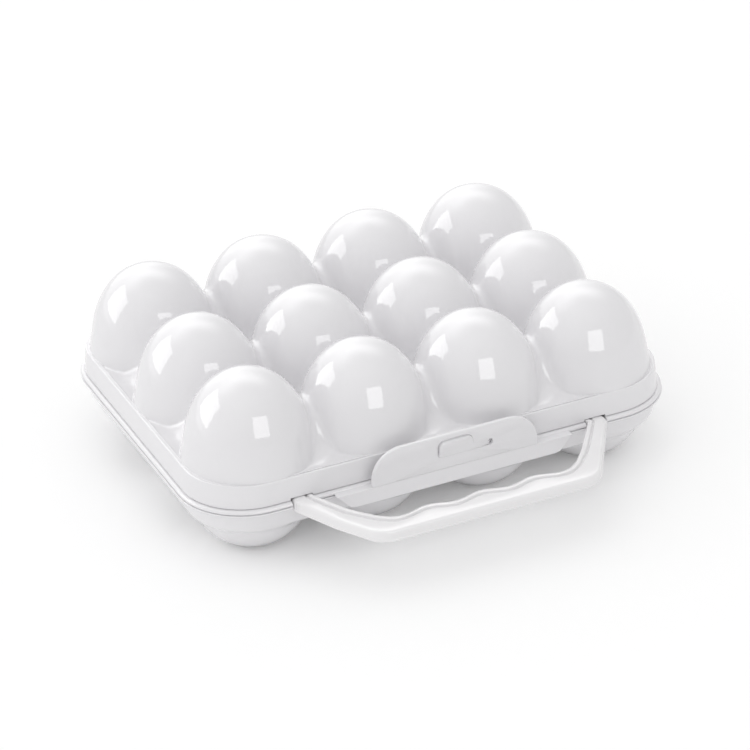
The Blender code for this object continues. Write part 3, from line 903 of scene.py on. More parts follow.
@dataclass
class Lid:
    """Domed lid: shell, skirted rim with its bead, the latch's catch and the hinge eyes.

    The rim's section is given outside the outline and above the flat. Its leans say how far the
    skirt's outer and inner face move in for each millimetre up.
    """

    plastic: Plastic
    dome: DomeForm = DomeForm()
    catch: Catch = Catch()
    flat: float = 38.5
    wall: float = 1.3
    spare: float = 1.0              # room past the form in the search for its heights
    shell_inset: float = 0.25
    parting: float = 29.3
    saddle: float = 5.3
    saddle_growth: float = 4.0
    saddle_height: float = 17.6
    foot_fillet: float = 0.6
    web_fillet: float = 6.0
    web_reach: float = 5.5
    rim_section: Section = Section((
        (1.0, -9.2, 0.2), (0.0, -0.2, 0.25),                                # skirt, outside
        (-0.15, 0.5, 0.25), (-0.8, 0.6, 0.2),                               # bead's outer crest
        (-0.92, 0.0, 0.05), (-1.37, 0.0, 0.05),                             # groove
        (-1.5, 0.6, 0.2), (-2.1, 0.6, 0.25),                                # bead's inner crest
        (-2.4, -0.1, 0.2), (-2.4, -0.8, 0.2),                               # bead, inside
        (-1.3, -1.3, 0.4), (-0.3, -9.2, 0.2)))                              # skirt, inside
    groove_corners: tuple[int, int] = (4, 5)
    groove_fade: float = 0.55
    foot_corners: tuple[int, int] = (0, 11)
    foot_leans: tuple[float, float] = (0.113, 0.127)
    notch_gap: float = 0.4
    arm_clearance: float = 0.25
    eye_arm: float = 0.9
    eye_arm_drop: float = 0.2
    eye_arm_root: float = 0.4
    eye_arm_inset: float = 0.1
    eye_arm_round: float = 0.2
    eye_round: float = 0.25
    eye_steps: int = 40

    def gap(self, x: np.ndarray, y: np.ndarray, z: np.ndarray) -> np.ndarray:
        """Distance outside the domes, which flow into each other and into the flat.

        The web between two domes widens in proportion as it comes down. The fillet round each
        foot is small, and grows as a bell curve toward the seams between cells, where the web
        runs out into the flat.

        Args:
            x: X of the points.
            y: Y of the points.
            z: Z of the points.

        Returns:
            Distances, negative inside.
        """
        h = z - self.flat
        saddle = self.saddle + self.saddle_growth * (1.0 - ramp(h, 0.0, self.saddle_height))
        domes = joined([self.dome.gap(rho, h) for rho in PLAN.axis_distances(x, y)], saddle)
        bell = np.exp(-(PLAN.seam_distance(x, y) / self.web_reach) ** 2)
        return joined([domes, h], self.foot_fillet + self.web_fillet * bell)

    def rim(self, skin: Skin) -> None:
        """Add skirt and bead: one section carried round the outline, raised over the arms.

        The bead's groove is deep along the front and fades out round the corners, by 1 - n^2,
        where n is how far the outline's normal points to the front.

        Args:
            skin: Skin that takes them.
        """
        marks = {"front": ARMS.marks(self.notch_gap)}
        points, normals = PLAN.stations(**marks)
        rows = np.repeat(self.rim_section.points[None], len(points), axis=0)
        rows[..., 1] += self.flat
        forward = np.maximum(-normals[:, 1:], 0.0)
        rows[:, self.groove_corners, 1] += self.groove_fade * (1.0 - forward ** 2)
        notch = ARMS.inside(points, self.notch_gap)
        lift = ARMS.top + self.arm_clearance
        for corner, lean in zip(self.foot_corners, self.foot_leans):
            rows[notch, corner, 0] -= (lift - self.parting) * lean
            rows[notch, corner, 1] = lift
        rows = eased(rows, self.rim_section.reach, RIM_STEPS)
        skin.torus(PLAN.ring(rows[..., 0], rows[..., 1], marks))

    def eyes(self, skin: Skin) -> None:
        """Add open eyes round the tray's pins, each on an arm from the back of the skirt.

        Args:
            skin: Skin that takes them.
        """
        start = -90.0 + HINGE.mouth_degrees / 2
        end = start + 360.0 - HINGE.mouth_degrees
        outer = HINGE.circle(HINGE.eye, start, end, self.eye_steps)
        inner = HINGE.circle(HINGE.bore, end, start, self.eye_steps)
        ring = eased(np.concatenate([outer, inner]), self.eye_round, 2)
        root, top = PLAN.half_depth - self.eye_arm_root, HINGE.z + HINGE.eye - self.eye_arm_drop
        low = top - self.eye_arm
        arm = np.array([(root, low), (HINGE.y, low), (HINGE.y, top), (root, top)])
        arm = eased(arm, self.eye_arm_round, 3)
        half, inset = HINGE.eye_width / 2, self.eye_arm_inset
        for middle in (-HINGE.x, HINGE.x):
            skin.loft(prism(ring, middle - half, middle + half))
            skin.loft(prism(arm, middle - half + inset, middle + half - inset))

    def build(self) -> bpy.types.Object:
        """Make the lid and let it ride on its body.

        Returns:
            The finished piece.
        """
        skin = Skin("lid_shell")
        sizes = ShellSizes(reach=-self.shell_inset, wall=self.wall, low=self.flat - self.spare,
                           high=self.flat + self.dome.rise + self.spare)
        CellShell(self.gap, sizes, Side.ABOVE).build(skin)
        self.rim(skin)
        self.catch.add(skin)
        self.eyes(skin)
        return self.plastic.dress(skin.build(), Body.LID, "lid", "lid_plastic")


@dataclass
class Tray:
    """Cupped tray: shell, proud rim with its lip, apron for the latch, hinge ears and pins.

    The rim's section is given outside the outline and above the ground. It stands out no further
    than the socket's wall behind the handle's arms, and than the bay's wall behind the eyes.
    """

    plastic: Plastic
    wall: float = 1.3
    ball: float = 24.9
    ball_z: float = 23.0
    cup_crease: float = 1.5
    cup_floor_edge: float = 1.8
    deck: float = 16.3
    deck_edge: float = 3.2
    cup_root: float = 3.0
    foot_inset: float = 1.3
    foot_flare: float = 0.6
    flare_z: float = 26.2
    shell_reach: float = 0.35
    spare: float = 0.5              # room below the ground in the search for heights
    rim_z: float = 29.0
    rim_section: Section = Section((
        (0.0, 23.4, 0.05), (0.58, 26.2, 0.25),                              # foot on the wall
        (2.8, 26.5, 0.2), (2.8, 27.1, 0.2),                                 # lower lip
        (1.6, 27.15, 0.05), (1.6, 27.6, 0.05),                              # groove
        (2.6, 27.65, 0.15), (2.55, 28.4, 0.35), (1.9, 29.0, 0.4),           # rim's face and top
        (-0.6, 29.0, 0.2), (-0.6, 30.5, 0.3), (-1.8, 30.5, 0.3),            # inner lip
        (-1.8, 27.2, 0.8), (-0.9, 23.5, 0.05)))                             # inside
    socket_wall: float = 0.1
    bay_wall: float = 1.0
    fold: float = 28.4
    face: float = 83.7
    apron_wall: float = 1.4
    apron_root: float = 77.9
    apron_foot: float = 21.8
    apron_lean: float = 0.5
    apron_half: float = 52.0
    apron_taper: float = 6.0
    apron_rounds: tuple[float, ...] = (0.45, 0.35, 0.1, 0.1, 0.8, 0.3)
    end_round: float = 0.35         # how much the apron's ends are drawn in
    end_spread: float = 5.0         # distance from the section's middle at which that holds
    apron_steps: int = 20
    ear_round: float = 0.3
    ear_steps: int = 16
    pin_degrees: float = 15.0
    pin_round: float = 0.1

    def gap(self, x: np.ndarray, y: np.ndarray, z: np.ndarray) -> np.ndarray:
        """Distance outside the cups and the pan, which flow into each other.

        A cup is a ball cut flat at the ground. The pan's wall leans out as it rises from the deck.

        Args:
            x: X of the points.
            y: Y of the points.
            z: Z of the points.

        Returns:
            Distances, negative inside.
        """
        balls = [np.hypot(rho, z - self.ball_z) - self.ball for rho in PLAN.axis_distances(x, y)]
        cups = crossed([joined(balls, self.cup_crease), -z], self.cup_floor_edge)
        lean = (self.foot_flare + self.foot_inset) / (self.flare_z - self.deck)
        wall = PLAN.distance(x, y) + self.foot_inset - (z - self.deck) * lean
        pan = crossed([wall / math.hypot(1.0, lean), self.deck - z], self.deck_edge)
        return joined([cups, pan], self.cup_root)

    def rim(self, skin: Skin) -> None:
        """Add the proud edge and inner lip, cut back at the arms' sockets and at the eyes.

        Args:
            skin: Skin that takes them.
        """
        half = HINGE.eye_width / 2 + HINGE.gap
        bays = [middle + end * half for middle in (-HINGE.x, HINGE.x) for end in (-1, 1)]
        marks = {"front": ARMS.marks(ARMS.gap), "back": bays}
        points, _ = PLAN.stations(**marks)
        rows = np.repeat(self.rim_section.points[None], len(points), axis=0)
        rows = eased(rows, self.rim_section.reach, RIM_STEPS)
        socket = ARMS.inside(points, ARMS.gap)
        rows[socket, :, 0] = np.minimum(rows[socket, :, 0], self.socket_wall)
        bridge = ARMS.top - ARMS.hook_bridge
        rows[socket, :, 1] = np.minimum(rows[socket, :, 1], bridge - ARMS.gap)
        bay = (np.abs(np.abs(points[:, 0]) - HINGE.x) < half) & (points[:, 1] > 0.0)
        rows[bay, :, 0] = np.minimum(rows[bay, :, 0], self.bay_wall)
        skin.torus(PLAN.ring(rows[..., 0], rows[..., 1], marks))

    def apron(self, skin: Skin) -> None:
        """Add the shelf and the band that hangs in front of the rim, with slanting ends.

        The section shrinks toward its middle by a quarter circle over the last step at each end.

        Args:
            skin: Skin that takes them.
        """
        shelf, inner = self.fold - self.apron_wall, self.apron_wall - self.face
        section = eased(np.array([
            (-self.face - self.apron_lean, self.apron_foot), (-self.face, self.fold),
            (-self.apron_root, self.fold), (-self.apron_root, shelf),
            (inner, shelf), (inner, self.apron_foot)]), self.apron_rounds)
        share = np.linspace(-1.0, 1.0, 2 * self.apron_steps + 1)[:, None]
        last = ramp(np.abs(share) * self.apron_steps, self.apron_steps - 1, 1.0)
        drawn = self.end_round * (1.0 - np.sqrt(1.0 - last ** 2)) / self.end_spread
        flat = section + (section.mean(axis=0) - section) * drawn[..., None]
        slant = self.apron_taper / (self.fold - self.apron_foot)
        x = share * (self.apron_half - slant * (self.fold - section[:, 1]))
        skin.loft(np.concatenate([x[..., None], flat], axis=-1))

    def ears(self, skin: Skin) -> None:
        """Add two ears at each hinge with a pin between them.

        Args:
            skin: Skin that takes them.
        """
        root, lip = PLAN.half_depth - HINGE.root, PLAN.half_depth + HINGE.ear_lip
        arc = HINGE.circle(HINGE.ear_radius, -90.0, 90.0, self.ear_steps)
        foot, top = [(root, self.rim_z - HINGE.ear_root)], [(lip, self.rim_z), (root, self.rim_z)]
        ear = eased(np.concatenate([foot, arc, top]), self.ear_round, 2)
        last = 360.0 - self.pin_degrees
        pin = HINGE.circle(HINGE.pin, 0.0, last, round(last / self.pin_degrees))
        half, span = HINGE.eye_width / 2 + HINGE.gap, HINGE.eye_width / 2 + HINGE.pin_hold
        for middle in (-HINGE.x, HINGE.x):
            for end in (-1, 1):
                near, far = middle + end * half, middle + end * (half + HINGE.ear_width)
                skin.loft(prism(ear, min(near, far), max(near, far)))
            skin.loft(prism(pin, middle - span, middle + span, self.pin_round, 1))

    def build(self) -> bpy.types.Object:
        """Make the tray and let it ride on its body.

        Returns:
            The finished piece.
        """
        skin = Skin("tray_shell")
        sizes = ShellSizes(reach=self.shell_reach, wall=self.wall, low=-self.spare,
                           high=self.flare_z, rays=96, rings=30, corner_share=0.03)
        CellShell(self.gap, sizes, Side.BELOW).build(skin)
        self.rim(skin)
        self.apron(skin)
        self.ears(skin)
        return self.plastic.dress(skin.build(), Body.TRAY, "egg_tray", "tray_plastic")


@dataclass
class Handle:
    """Carry handle: two arms and a wavy grip of channel section, hooked over the tray's rim.

    The bar's corners are rows of (0 from the outer edge or 1 from the inner edge, across, up from
    the top face, share of the bead's height, reach of the rounding).
    """

    plastic: Plastic
    front: float = -116.5
    width: float = 10.4
    outer_corner_x: float = 47.7
    inner_corner_x: float = 42.0
    outer_bend: float = 11.0
    inner_bend: float = 9.5
    knee: float = -80.7
    root_y: float = -78.1
    ramp_length: float = 14.0
    ramp_soft: float = 0.05
    drop: float = 2.0
    thick: float = 4.6
    bead: float = 0.5
    bead_start: float = -78.9
    bead_blend: float = 0.8
    wave_depth: float = 1.25
    wave_length: float = 23.0
    stub_steps: int = 4
    arm_steps: int = 30
    bend_steps: int = 24
    grip_steps: int = 150
    bar_corners: tuple[tuple[float, ...], ...] = (
        (0, 0.0, -4.6, 0, 0.2), (0, 0.0, -4.0, 0, 0.25), (0, 0.35, -3.7, 0, 0.2),   # lower lip
        (0, 0.35, -0.1, 0, 1.9),                                            # outer side
        (1, -3.1, 0.0, 0, 0.3), (1, -2.8, -0.9, 0, 0.2),                    # top face, groove
        (1, -2.2, -0.9, 0, 0.2), (1, -1.9, 0.0, 1, 0.35),                   # groove, bead
        (1, -0.3, 0.0, 1, 0.35), (1, 0.0, -0.1, 0, 0.2),                    # bead, inner side
        (1, 0.0, -4.6, 0, 0.4), (1, -1.8, -4.6, 0, 0.3),                    # inner wall's foot
        (1, -1.8, -1.9, 0, 0.5), (0, 1.8, -1.9, 0, 0.5),                    # channel's roof
        (0, 1.8, -4.6, 0, 0.3))                                             # outer wall's foot
    hook_front: float = -82.5
    web_outer: float = -78.8
    web_inner: float = -75.6
    hook_back: float = -74.4
    hook_foot: float = 26.3
    hook_inset: float = 0.7
    hook_edge: float = 0.2
    hook_rounds: tuple[float, ...] = (0.2, 0.2, 0.3, 0.3, 0.3, 0.4, 0.6, 0.2)

    def path(self, root_x: float, corner_x: float, front_y: float, radius: float) -> np.ndarray:
        """Draw one edge of the handle in plan: arm, round corner, grip, and the same mirrored.

        Args:
            root_x: X of the arm at the rim.
            corner_x: X at which the arm's line would meet the grip's line.
            front_y: Y of the grip.
            radius: Radius of the bend between them.

        Returns:
            Points (x, y), from the right arm to the left one.
        """
        knee, corner = np.array([root_x, self.knee]), np.array([corner_x, front_y])
        along = (knee - corner) / np.linalg.norm(knee - corner)
        setback = radius / math.tan(math.acos(float(-along[0])) / 2)
        start, end = corner + along * setback, corner + np.array([-setback, 0.0])
        hub = end + np.array([0.0, radius])
        first = math.atan2(start[1] - hub[1], start[0] - hub[0])
        root = np.array([root_x, self.root_y])
        stub, arm, turned, grip = (np.linspace(0.0, 1.0, steps + 1)[:, None] for steps in (
            self.stub_steps, self.arm_steps, self.bend_steps, self.grip_steps))
        stub = root + (knee - root) * stub[:-1]
        arm = knee + (start - knee) * arm[:-1]
        angle = first + (-math.pi / 2 - first) * turned[:-1]
        bend = hub + radius * np.concatenate([np.cos(angle), np.sin(angle)], axis=1)
        grip = end + np.array([-2 * end[0], 0.0]) * grip
        half = np.concatenate([stub, arm, bend])
        return np.concatenate([half, grip, half[::-1] * [-1.0, 1.0]])

    def top(self, y: np.ndarray) -> np.ndarray:
        """Height of the top face: a straight ramp from the rim that meets the level grip.

        The ramp's share t is cut to 0..1 with soft corners, by (t + 1 - sqrt((1 - t)^2 + s^2)) / 2
        and then (t + sqrt(t^2 + s^2)) / 2.

        Args:
            y: Y of the points.

        Returns:
            Heights.
        """
        share, soft = (self.knee - y) / self.ramp_length, self.ramp_soft
        below = (share + 1.0 - np.sqrt((1.0 - share) ** 2 + soft ** 2)) / 2
        above = (below + np.sqrt(below ** 2 + soft ** 2)) / 2
        return ARMS.top - self.drop * np.clip(above, 0.0, 1.0)

    def bar(self, skin: Skin) -> None:
        """Add arms and grip: the section is stretched between the handle's two edges.

        The inner edge waves by depth times cos(2 pi x / length) along the grip, for the fingers.

        Args:
            skin: Skin that takes them.
        """
        outer = self.path(ARMS.outer_x, self.outer_corner_x, self.front, self.outer_bend)
        inner = self.path(ARMS.inner_x, self.inner_corner_x, self.front + self.width,
                          self.inner_bend)
        on_grip = 1.0 - ramp(inner[:, 1], inner[:, 1].min(), self.inner_bend)
        wave = np.cos(FULL_TURN * inner[:, 0] / self.wave_length)
        inner[:, 1] += self.wave_depth * on_grip * wave
        across = inner - outer
        span = np.linalg.norm(across, axis=1, keepdims=True)
        across /= span
        middle = ((outer + inner) / 2)[:, 1:]
        bead = self.bead * ramp(middle, self.bead_start, -self.bead_blend)
        side, along, up, on_bead, reach = np.array(self.bar_corners).T
        rows = eased(np.stack([side * span + along, up + on_bead * bead], axis=-1), reach)
        flat = outer[:, None, :] + across[:, None, :] * rows[..., :1]
        height = self.top(middle) + rows[..., 1]
        skin.loft(np.concatenate([flat, height[..., None]], axis=-1))

    def hooks(self, skin: Skin) -> None:
        """Add hooks that bridge the rim's web and hang down inside it.

        Args:
            skin: Skin that takes them.
        """
        top, foot = ARMS.top - self.hook_inset, ARMS.top - self.thick + self.hook_inset
        bridge = ARMS.top - ARMS.hook_bridge
        hook = eased(np.array([
            (self.hook_front, foot), (self.web_outer, foot), (self.web_outer, bridge),
            (self.web_inner, bridge), (self.web_inner, self.hook_foot),
            (self.hook_back, self.hook_foot), (self.hook_back, top),
            (self.hook_front, top)]), self.hook_rounds)
        near, far = ARMS.inner_x + self.hook_inset, ARMS.outer_x - self.hook_inset
        for low, high in ((-far, -near), (near, far)):
            skin.loft(prism(hook, low, high, self.hook_edge))

    def build(self) -> bpy.types.Object:
        """Make the handle and let it ride on the tray's body.

        Returns:
            The finished piece.
        """
        skin = Skin("handle_frame")
        self.bar(skin)
        self.hooks(skin)
        return self.plastic.dress(skin.build(), Body.TRAY, "carry_handle", "handle_plastic")


@dataclass
class Tongue:
    """Latch tongue: a flat plate with round top corners, open where the catch sits.

    Its upper edge is well rounded, its foot at the fold hardly. The window's rim is rounded at the
    upper left, where the lug stands proud, and less elsewhere.
    """

    plastic: Plastic
    half: float = 36.7
    foot: float = 28.47
    top: float = 43.6
    corner: float = 13.0
    run_down: float = 30.0
    face: float = -83.7
    back: float = -82.2
    top_round: float = 0.9
    fold_round: float = 0.12
    back_round: float = 0.25
    window_round: float = 0.35
    window_back_round: float = 0.2
    slot_round_share: float = 0.3
    lug_right: float = 4.0
    lug_foot: float = 34.6
    even_rays: int = 240
    edge_points: int = 220
    window_points: int = 160
    trial_rays: int = 2880
    angle_digits: int = 4
    fold_band: float = 0.01

    def outside(self, x: np.ndarray, z: np.ndarray) -> np.ndarray:
        """Distance outside the tongue's own outline.

        Args:
            x: X of the points.
            z: Z of the points.

        Returns:
            Distances, negative inside.
        """
        low = self.foot - self.run_down
        tall = plate_gap(x, z, self.half, low, self.top, self.corner, self.corner)
        return np.maximum(tall, self.foot - z)

    def directions(self) -> np.ndarray:
        """Choose rays from the window's hub that follow both outlines closely.

        Returns:
            Angles: even ones, and those that space points evenly along each outline.
        """
        turn = np.linspace(0.0, FULL_TURN, self.trial_rays + 1)
        chosen = [whole_turn(self.even_rays)]
        for gap, count in ((self.outside, self.edge_points), (WINDOW.gap, self.window_points)):
            line = WINDOW.edge(gap, turn[:-1])
            step = np.linalg.norm(np.roll(line, -1, axis=0) - line, axis=1)
            total = np.concatenate([[0.0], np.cumsum(step)])
            wanted = np.linspace(0.0, total[-1], count + 1)[:-1]
            chosen.append(np.interp(wanted, total, turn))
        angle = np.unique(np.round(np.concatenate(chosen), self.angle_digits))
        return angle[angle < FULL_TURN - 10.0 ** -self.angle_digits]

    def build(self) -> bpy.types.Object:
        """Make the tongue and let it ride on the latch's body.

        On each ray a closed loop goes up over the outer edge, across the face into the window and
        back behind the plate. A rounding is a quarter circle, whose angle a runs over the loop's
        points: in by r (1 - cos a), and forward by r sin a.

        Returns:
            The finished piece.
        """
        angle = self.directions()
        outer, inner = WINDOW.edge(self.outside, angle), WINDOW.edge(WINDOW.gap, angle)
        away = inner - outer
        room = np.linalg.norm(away, axis=1, keepdims=True)
        away, room = away / room, room / 3
        at_fold = outer[:, 1:] < self.foot + self.fold_band
        edge = np.where(at_fold, self.fold_round, self.top_round)
        by_lug = (inner[:, :1] < self.lug_right) & (inner[:, 1:] > self.lug_foot)
        rim = self.window_round * np.where(by_lug, 1.0, self.slot_round_share)
        loop = [(outer, self.back - self.back_round), (outer, self.face + edge)]
        for a in np.radians(np.linspace(22.5, 90.0, 4)):
            loop.append((outer + away * np.minimum(edge * (1.0 - math.cos(a)), room),
                         self.face + edge * (1.0 - math.sin(a))))
        for a in np.radians(np.linspace(0.0, 90.0, 4)):
            loop.append((inner - away * np.minimum(rim * (1.0 - math.sin(a)), room),
                         self.face + rim * (1.0 - math.cos(a))))
        loop += [(inner, self.back - self.window_back_round),
                 (inner - away * np.minimum(self.window_back_round, room), self.back),
                 (outer + away * np.minimum(self.back_round, room), self.back)]
        rings = [np.concatenate([flat[:, :1], np.broadcast_to(y, at_fold.shape), flat[:, 1:]], axis=1)
                 for flat, y in loop]
        skin = Skin("tongue_plate")
        skin.torus(np.stack(rings, axis=1))
        return self.plastic.dress(skin.build(), Body.LATCH, "latch_tongue", "tongue_plastic")


def linear(code: str) -> tuple[float, float, float, float]:
    """Turn a hex sRGB colour into the linear values that shaders take.

    Args:
        code: Colour as #rrggbb.

    Returns:
        Linear red, green and blue, and an alpha of 1.
    """
    parts = [int(code[i:i + 2], 16) / 255 for i in (1, 3, 5)]
    values = [p / 12.92 if p <= 0.04045 else ((p + 0.055) / 1.055) ** 2.4 for p in parts]
    return values[0], values[1], values[2], 1.0


def node(tree: bpy.types.NodeTree, kind: str, values: dict[str | int, object] | None = None,
         links: dict[str | int, bpy.types.NodeSocket] | None = None,
         **settings: str) -> bpy.types.Node:
    """Add a shader node.

    Args:
        tree: Node tree that takes it.
        kind: Blender's name of the node type.
        values: Values of its sockets.
        links: Outputs that feed its sockets.
        **settings: Its other settings.

    Returns:
        The new node.
    """
    made = tree.nodes.new(kind)
    for key, value in settings.items():
        setattr(made, key, value)
    for key, value in (values or {}).items():
        made.inputs[key].default_value = value
    for key, output in (links or {}).items():
        tree.links.new(output, made.inputs[key])
    return made


@dataclass(frozen=True)
class Plastic:
    """Injection-moulded white polypropylene.

    The milky resin is an even, nearly neutral white with faint clouds where it flowed. The mould's
    steel sets the gloss: a polished one gives sharp window reflections, and a finely blasted one
    spreads them. Shrinkage leaves waves a few hundredths of a millimetre high, which make the
    reflections' edges swim a little.
    """

    name: str
    colour: str
    shade: str
    roughness: float
    roughness_swing: float = 0.15
    ior: float = 1.49
    cloud_width: float = 35.7
    wave_width: float = 11.1
    wave_height: float = 0.02
    wave_strength: float = 0.12

    def material(self) -> bpy.types.Material:
        """Build the node material, once for all pieces of this plastic.

        Returns:
            The material.
        """
        found = bpy.data.materials.get(self.name)
        if found:
            return found
        colour_a, colour_b, colour_out = 6, 7, 2
        material = bpy.data.materials.new(self.name)
        material.use_nodes = True
        tree = material.node_tree
        place = {"Vector": node(tree, "ShaderNodeTexCoord").outputs["Object"]}
        # Flow clouds, as wide as the streams that fill the mould.
        cloud = node(tree, "ShaderNodeTexNoise", {
            "Scale": 1.0 / (self.cloud_width * MM), "Detail": 3.0, "Roughness": 0.55}, place)
        clouds = cloud.outputs["Fac"]
        tint = node(tree, "ShaderNodeMix", {
            colour_a: linear(self.colour), colour_b: linear(self.shade)}, {0: clouds},
            data_type="RGBA")
        rough = node(tree, "ShaderNodeMapRange", {
            1: 0.3, 2: 0.7, 3: self.roughness * (1.0 - self.roughness_swing),
            4: self.roughness * (1.0 + self.roughness_swing)}, {0: clouds})
        # Shrinkage waves, as wide as the wall's uneven cooling makes them.
        wave = node(tree, "ShaderNodeTexNoise", {
            "Scale": 1.0 / (self.wave_width * MM), "Detail": 2.0, "Roughness": 0.5}, place)
        bump = node(tree, "ShaderNodeBump", {
            "Strength": self.wave_strength, "Distance": self.wave_height * MM},
            {"Height": wave.outputs["Fac"]})
        shader = tree.nodes["Principled BSDF"]
        shader.inputs["IOR"].default_value = self.ior
        for key, output in (("Base Color", tint.outputs[colour_out]),
                            ("Roughness", rough.outputs[0]), ("Normal", bump.outputs["Normal"])):
            tree.links.new(output, shader.inputs[key])
        return material

    def dress(self, piece: bpy.types.Object, body: Body, replaced: str,
              slot: str) -> bpy.types.Object:
        """Give a piece this plastic, let it ride on a body and stand for a node of the frame.

        Args:
            piece: The finished piece.
            body: Body that it moves with.
            replaced: Node of the frame that it stands for.
            slot: Not used.

        Returns:
            The same piece.
        """
        piece.data.materials.clear()
        piece.data.materials.append(self.material())
        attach(piece, body.value)
        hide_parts(replaced)
        LOG.info("%s: %d faces on %s", piece.name, len(piece.data.polygons), body.value)
        return piece


@dataclass(frozen=True)
class Softbox:
    """A rectangular reflection card that faces the object; only gloss shows it. In metres."""

    name: str
    place: tuple[float, float, float]
    width: float
    height: float
    radiance: float
    roll: float = 0.0
    aim: tuple[float, float, float] = (0.0, 0.0, 0.04)

    def build(self) -> None:
        """Make the lamp; its power is radiance times pi times area."""
        light = bpy.data.lights.new(self.name, "AREA")
        light.shape = "RECTANGLE"
        light.size, light.size_y = self.width, self.height
        light.energy = self.radiance * math.pi * self.width * self.height
        lamp = bpy.data.objects.new(self.name, light)
        bpy.context.scene.collection.objects.link(lamp)
        lamp.visible_diffuse = False
        lamp.location = self.place
        facing = (Vector(self.aim) - Vector(self.place)).to_track_quat("-Z", "Y").to_matrix()
        turned = facing @ Matrix.Rotation(math.radians(self.roll), 3, "Z")
        lamp.rotation_euler = turned.to_euler()


@dataclass(frozen=True)
class Glow:
    """A soft bright patch of the studio's surroundings, as strength times cosine to a power."""

    azimuth: float
    elevation: float
    power: float
    strength: float

    @property
    def way(self) -> tuple[float, float, float]:
        """Direction of its middle, from the front by azimuth toward +X and up by elevation."""
        a, e = math.radians(self.azimuth), math.radians(self.elevation)
        return math.sin(a) * math.cos(e), -math.cos(a) * math.cos(e), math.sin(e)


@dataclass(frozen=True)
class Viewpoint:
    """The photograph's camera, solved from the object's outlines.

    Angles are in degrees: round from the front toward +X, up, and the roll of the picture. The
    target is in metres from the middle of the cell grid, and the focal length in pixels.
    """

    azimuth: float = -23.66
    elevation: float = 29.43
    roll: float = -2.32
    distance: float = 1.5476154
    target: tuple[float, float, float] = (-0.005028846, -0.018259615, 0.0385)
    focal_pixels: float = 3773.69
    image_pixels: float = 750.0
    sensor: float = 36.0
    nearest: float = 0.05
    farthest: float = 50.0

    def build(self) -> None:
        """Make the camera and let the scene use it."""
        a, e, roll = (math.radians(angle) for angle in (self.azimuth, self.elevation, self.roll))
        back = Vector((math.sin(a) * math.cos(e), -math.cos(a) * math.cos(e), math.sin(e)))
        right = Vector((math.cos(a), math.sin(a), 0.0))
        up = back.cross(right)
        turned_right = right * math.cos(roll) + up * math.sin(roll)
        turned_up = up * math.cos(roll) - right * math.sin(roll)
        view = Matrix((turned_right, turned_up, back)).transposed().to_4x4()
        target = Vector(self.target) + Vector((0.0, PLAN.shift * MM, 0.0))
        view.translation = target + back * self.distance
        data = bpy.data.cameras.new("camera")
        data.sensor_width = self.sensor
        data.lens = self.focal_pixels / self.image_pixels * self.sensor
        data.clip_start, data.clip_end = self.nearest, self.farthest
        camera = bpy.data.objects.new("camera", data)
        bpy.context.scene.collection.objects.link(camera)
        camera.matrix_world = view
        bpy.context.scene.camera = camera


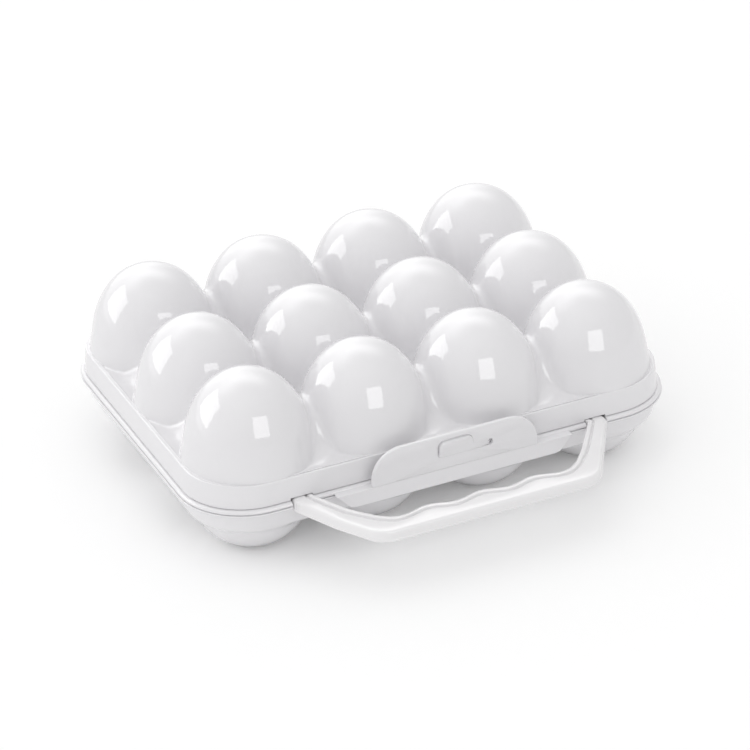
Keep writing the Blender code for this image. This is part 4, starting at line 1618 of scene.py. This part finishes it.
@dataclass
class Studio:
    """White floor, soft light and the camera of the photograph.

    The glows light everything. The shine's glows show only in gloss, as bright walls out of view.
    """

    viewpoint: Viewpoint = Viewpoint()
    floor_half: float = 3.0
    floor_steps: int = 24
    floor_white: float = 1.2
    floor_lift: float = 0.12
    ambient: float = 0.72
    glows: tuple[Glow, ...] = (
        Glow(0.0, 90.0, 4.0, 0.48), Glow(300.0, 55.0, 8.0, 0.3), Glow(180.0, 17.0, 6.0, 0.15),
        Glow(235.0, 17.0, 6.0, 0.25), Glow(270.0, 17.0, 6.0, 0.2))
    shine: tuple[Glow, ...] = (
        Glow(137.0, 50.0, 26.0, 2.0), Glow(169.0, 50.0, 26.0, 2.0), Glow(175.0, 22.0, 9.0, 2.1),
        Glow(230.0, 15.0, 9.0, 1.2), Glow(208.0, 52.0, 16.0, 2.2))
    softboxes: tuple[Softbox, ...] = (
        Softbox("front_window", (0.047, -0.891, 0.473), 0.50, 0.46, 4.0, -8.7),
        Softbox("left_window", (-0.952, 0.584, 0.555), 0.88, 0.72, 3.4))

    def floor(self) -> None:
        """Make a pale seamless floor, far larger than the view.

        To the camera a share of it glows white, which lifts its shadow as the photograph does.
        """
        line = np.linspace(-self.floor_half, self.floor_half, self.floor_steps + 1)
        x, y = np.meshgrid(line, line, indexing="ij")
        points = np.stack([x, y, np.zeros_like(x)], axis=-1).reshape(-1, 3)
        index = np.arange(len(points)).reshape(x.shape)
        mesh = bpy.data.meshes.new("studio_floor")
        mesh.from_pydata(points.tolist(), [], grid_quads(index).tolist())
        floor = bpy.data.objects.new("studio_floor", mesh)
        bpy.context.scene.collection.objects.link(floor)
        mesh.materials.append(self.floor_paint())

    def floor_paint(self) -> bpy.types.Material:
        """Build the floor's matt white paint, which hardly mirrors the object.

        Returns:
            The material.
        """
        material = bpy.data.materials.new("matt_white_studio_paint")
        material.use_nodes = True
        tree = material.node_tree
        tree.nodes.clear()
        paint = node(tree, "ShaderNodeBsdfPrincipled", {
            "Base Color": linear("#ffffff"), "Roughness": 0.9, "Specular IOR Level": 0.1})
        white = node(tree, "ShaderNodeEmission", {"Strength": self.floor_white})
        seen = node(tree, "ShaderNodeLightPath").outputs["Is Camera Ray"]
        share = node(tree, "ShaderNodeMath", {1: self.floor_lift}, {0: seen}, operation="MULTIPLY")
        mix = node(tree, "ShaderNodeMixShader", {},
                   {0: share.outputs[0], 1: paint.outputs[0], 2: white.outputs[0]})
        node(tree, "ShaderNodeOutputMaterial", {}, {"Surface": mix.outputs[0]})
        return material

    @staticmethod
    def glow_sum(tree: bpy.types.NodeTree, start: float,
                 glows: Sequence[Glow]) -> bpy.types.NodeSocket:
        """Add up glows over the sky.

        From direction d comes the start value plus the sum of strength times max(d . way, 0) to
        the glow's power.

        Args:
            tree: The sky's nodes.
            start: Light from every direction.
            glows: Patches to add.

        Returns:
            The socket that carries the sum.
        """
        ways = node(tree, "ShaderNodeTexCoord").outputs["Generated"]
        before: dict[str | int, bpy.types.NodeSocket] = {}
        for glow in glows:
            dot = node(tree, "ShaderNodeVectorMath", {1: glow.way}, {0: ways},
                       operation="DOT_PRODUCT")
            ahead = node(tree, "ShaderNodeMath", {1: 0.0}, {0: dot.outputs["Value"]},
                         operation="MAXIMUM")
            fall = node(tree, "ShaderNodeMath", {1: glow.power}, {0: ahead.outputs[0]},
                        operation="POWER")
            total = node(tree, "ShaderNodeMath", {1: glow.strength, 2: start},
                         {0: fall.outputs[0], **before}, operation="MULTIPLY_ADD")
            before = {2: total.outputs[0]}
        return before[2]

    def world(self) -> None:
        """Surround the object with even white and soft glows.

        Gloss also shows the shine's glows, and the camera itself sees plain white.
        """
        world = bpy.data.worlds.new("studio_air")
        bpy.context.scene.world = world
        world.use_nodes = True
        tree = world.node_tree
        tree.nodes.clear()
        path = node(tree, "ShaderNodeLightPath").outputs
        level = node(tree, "ShaderNodeMath", {}, {
            0: path["Is Glossy Ray"], 1: self.glow_sum(tree, 0.0, self.shine),
            2: self.glow_sum(tree, self.ambient, self.glows)}, operation="MULTIPLY_ADD")
        white = (1.0, 1.0, 1.0, 1.0)
        light = node(tree, "ShaderNodeBackground", {"Color": white}, {"Strength": level.outputs[0]})
        seen = node(tree, "ShaderNodeBackground", {"Color": white})
        mix = node(tree, "ShaderNodeMixShader", {},
                   {0: path["Is Camera Ray"], 1: light.outputs[0], 2: seen.outputs[0]})
        node(tree, "ShaderNodeOutputWorld", {}, {0: mix.outputs[0]})

    def build(self) -> None:
        """Set up the whole studio."""
        self.viewpoint.build()
        self.floor()
        self.world()
        for softbox in self.softboxes:
            softbox.build()
        bpy.context.scene.view_settings.view_transform = "Standard"


def main() -> None:
    """Build every piece of the carrier, then the studio round it."""
    logging.basicConfig(level=logging.INFO, format="%(message)s")
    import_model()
    # Lid, tray and tongue come from polished moulds and mirror the studio's windows.
    polished = Plastic("polished_white_polypropylene", "#e9e8ea", "#e6e5e7", 0.03)
    # The handle is moulded with a fine satin face, dry to the touch, that spreads reflections.
    satin = Plastic("satin_white_polypropylene", "#eeedee", "#ebeaeb", 0.18)
    Lid(polished).build()
    Tray(polished).build()
    Handle(satin).build()
    Tongue(polished).build()
    Studio().build()


if __name__ == "__main__":
    main()
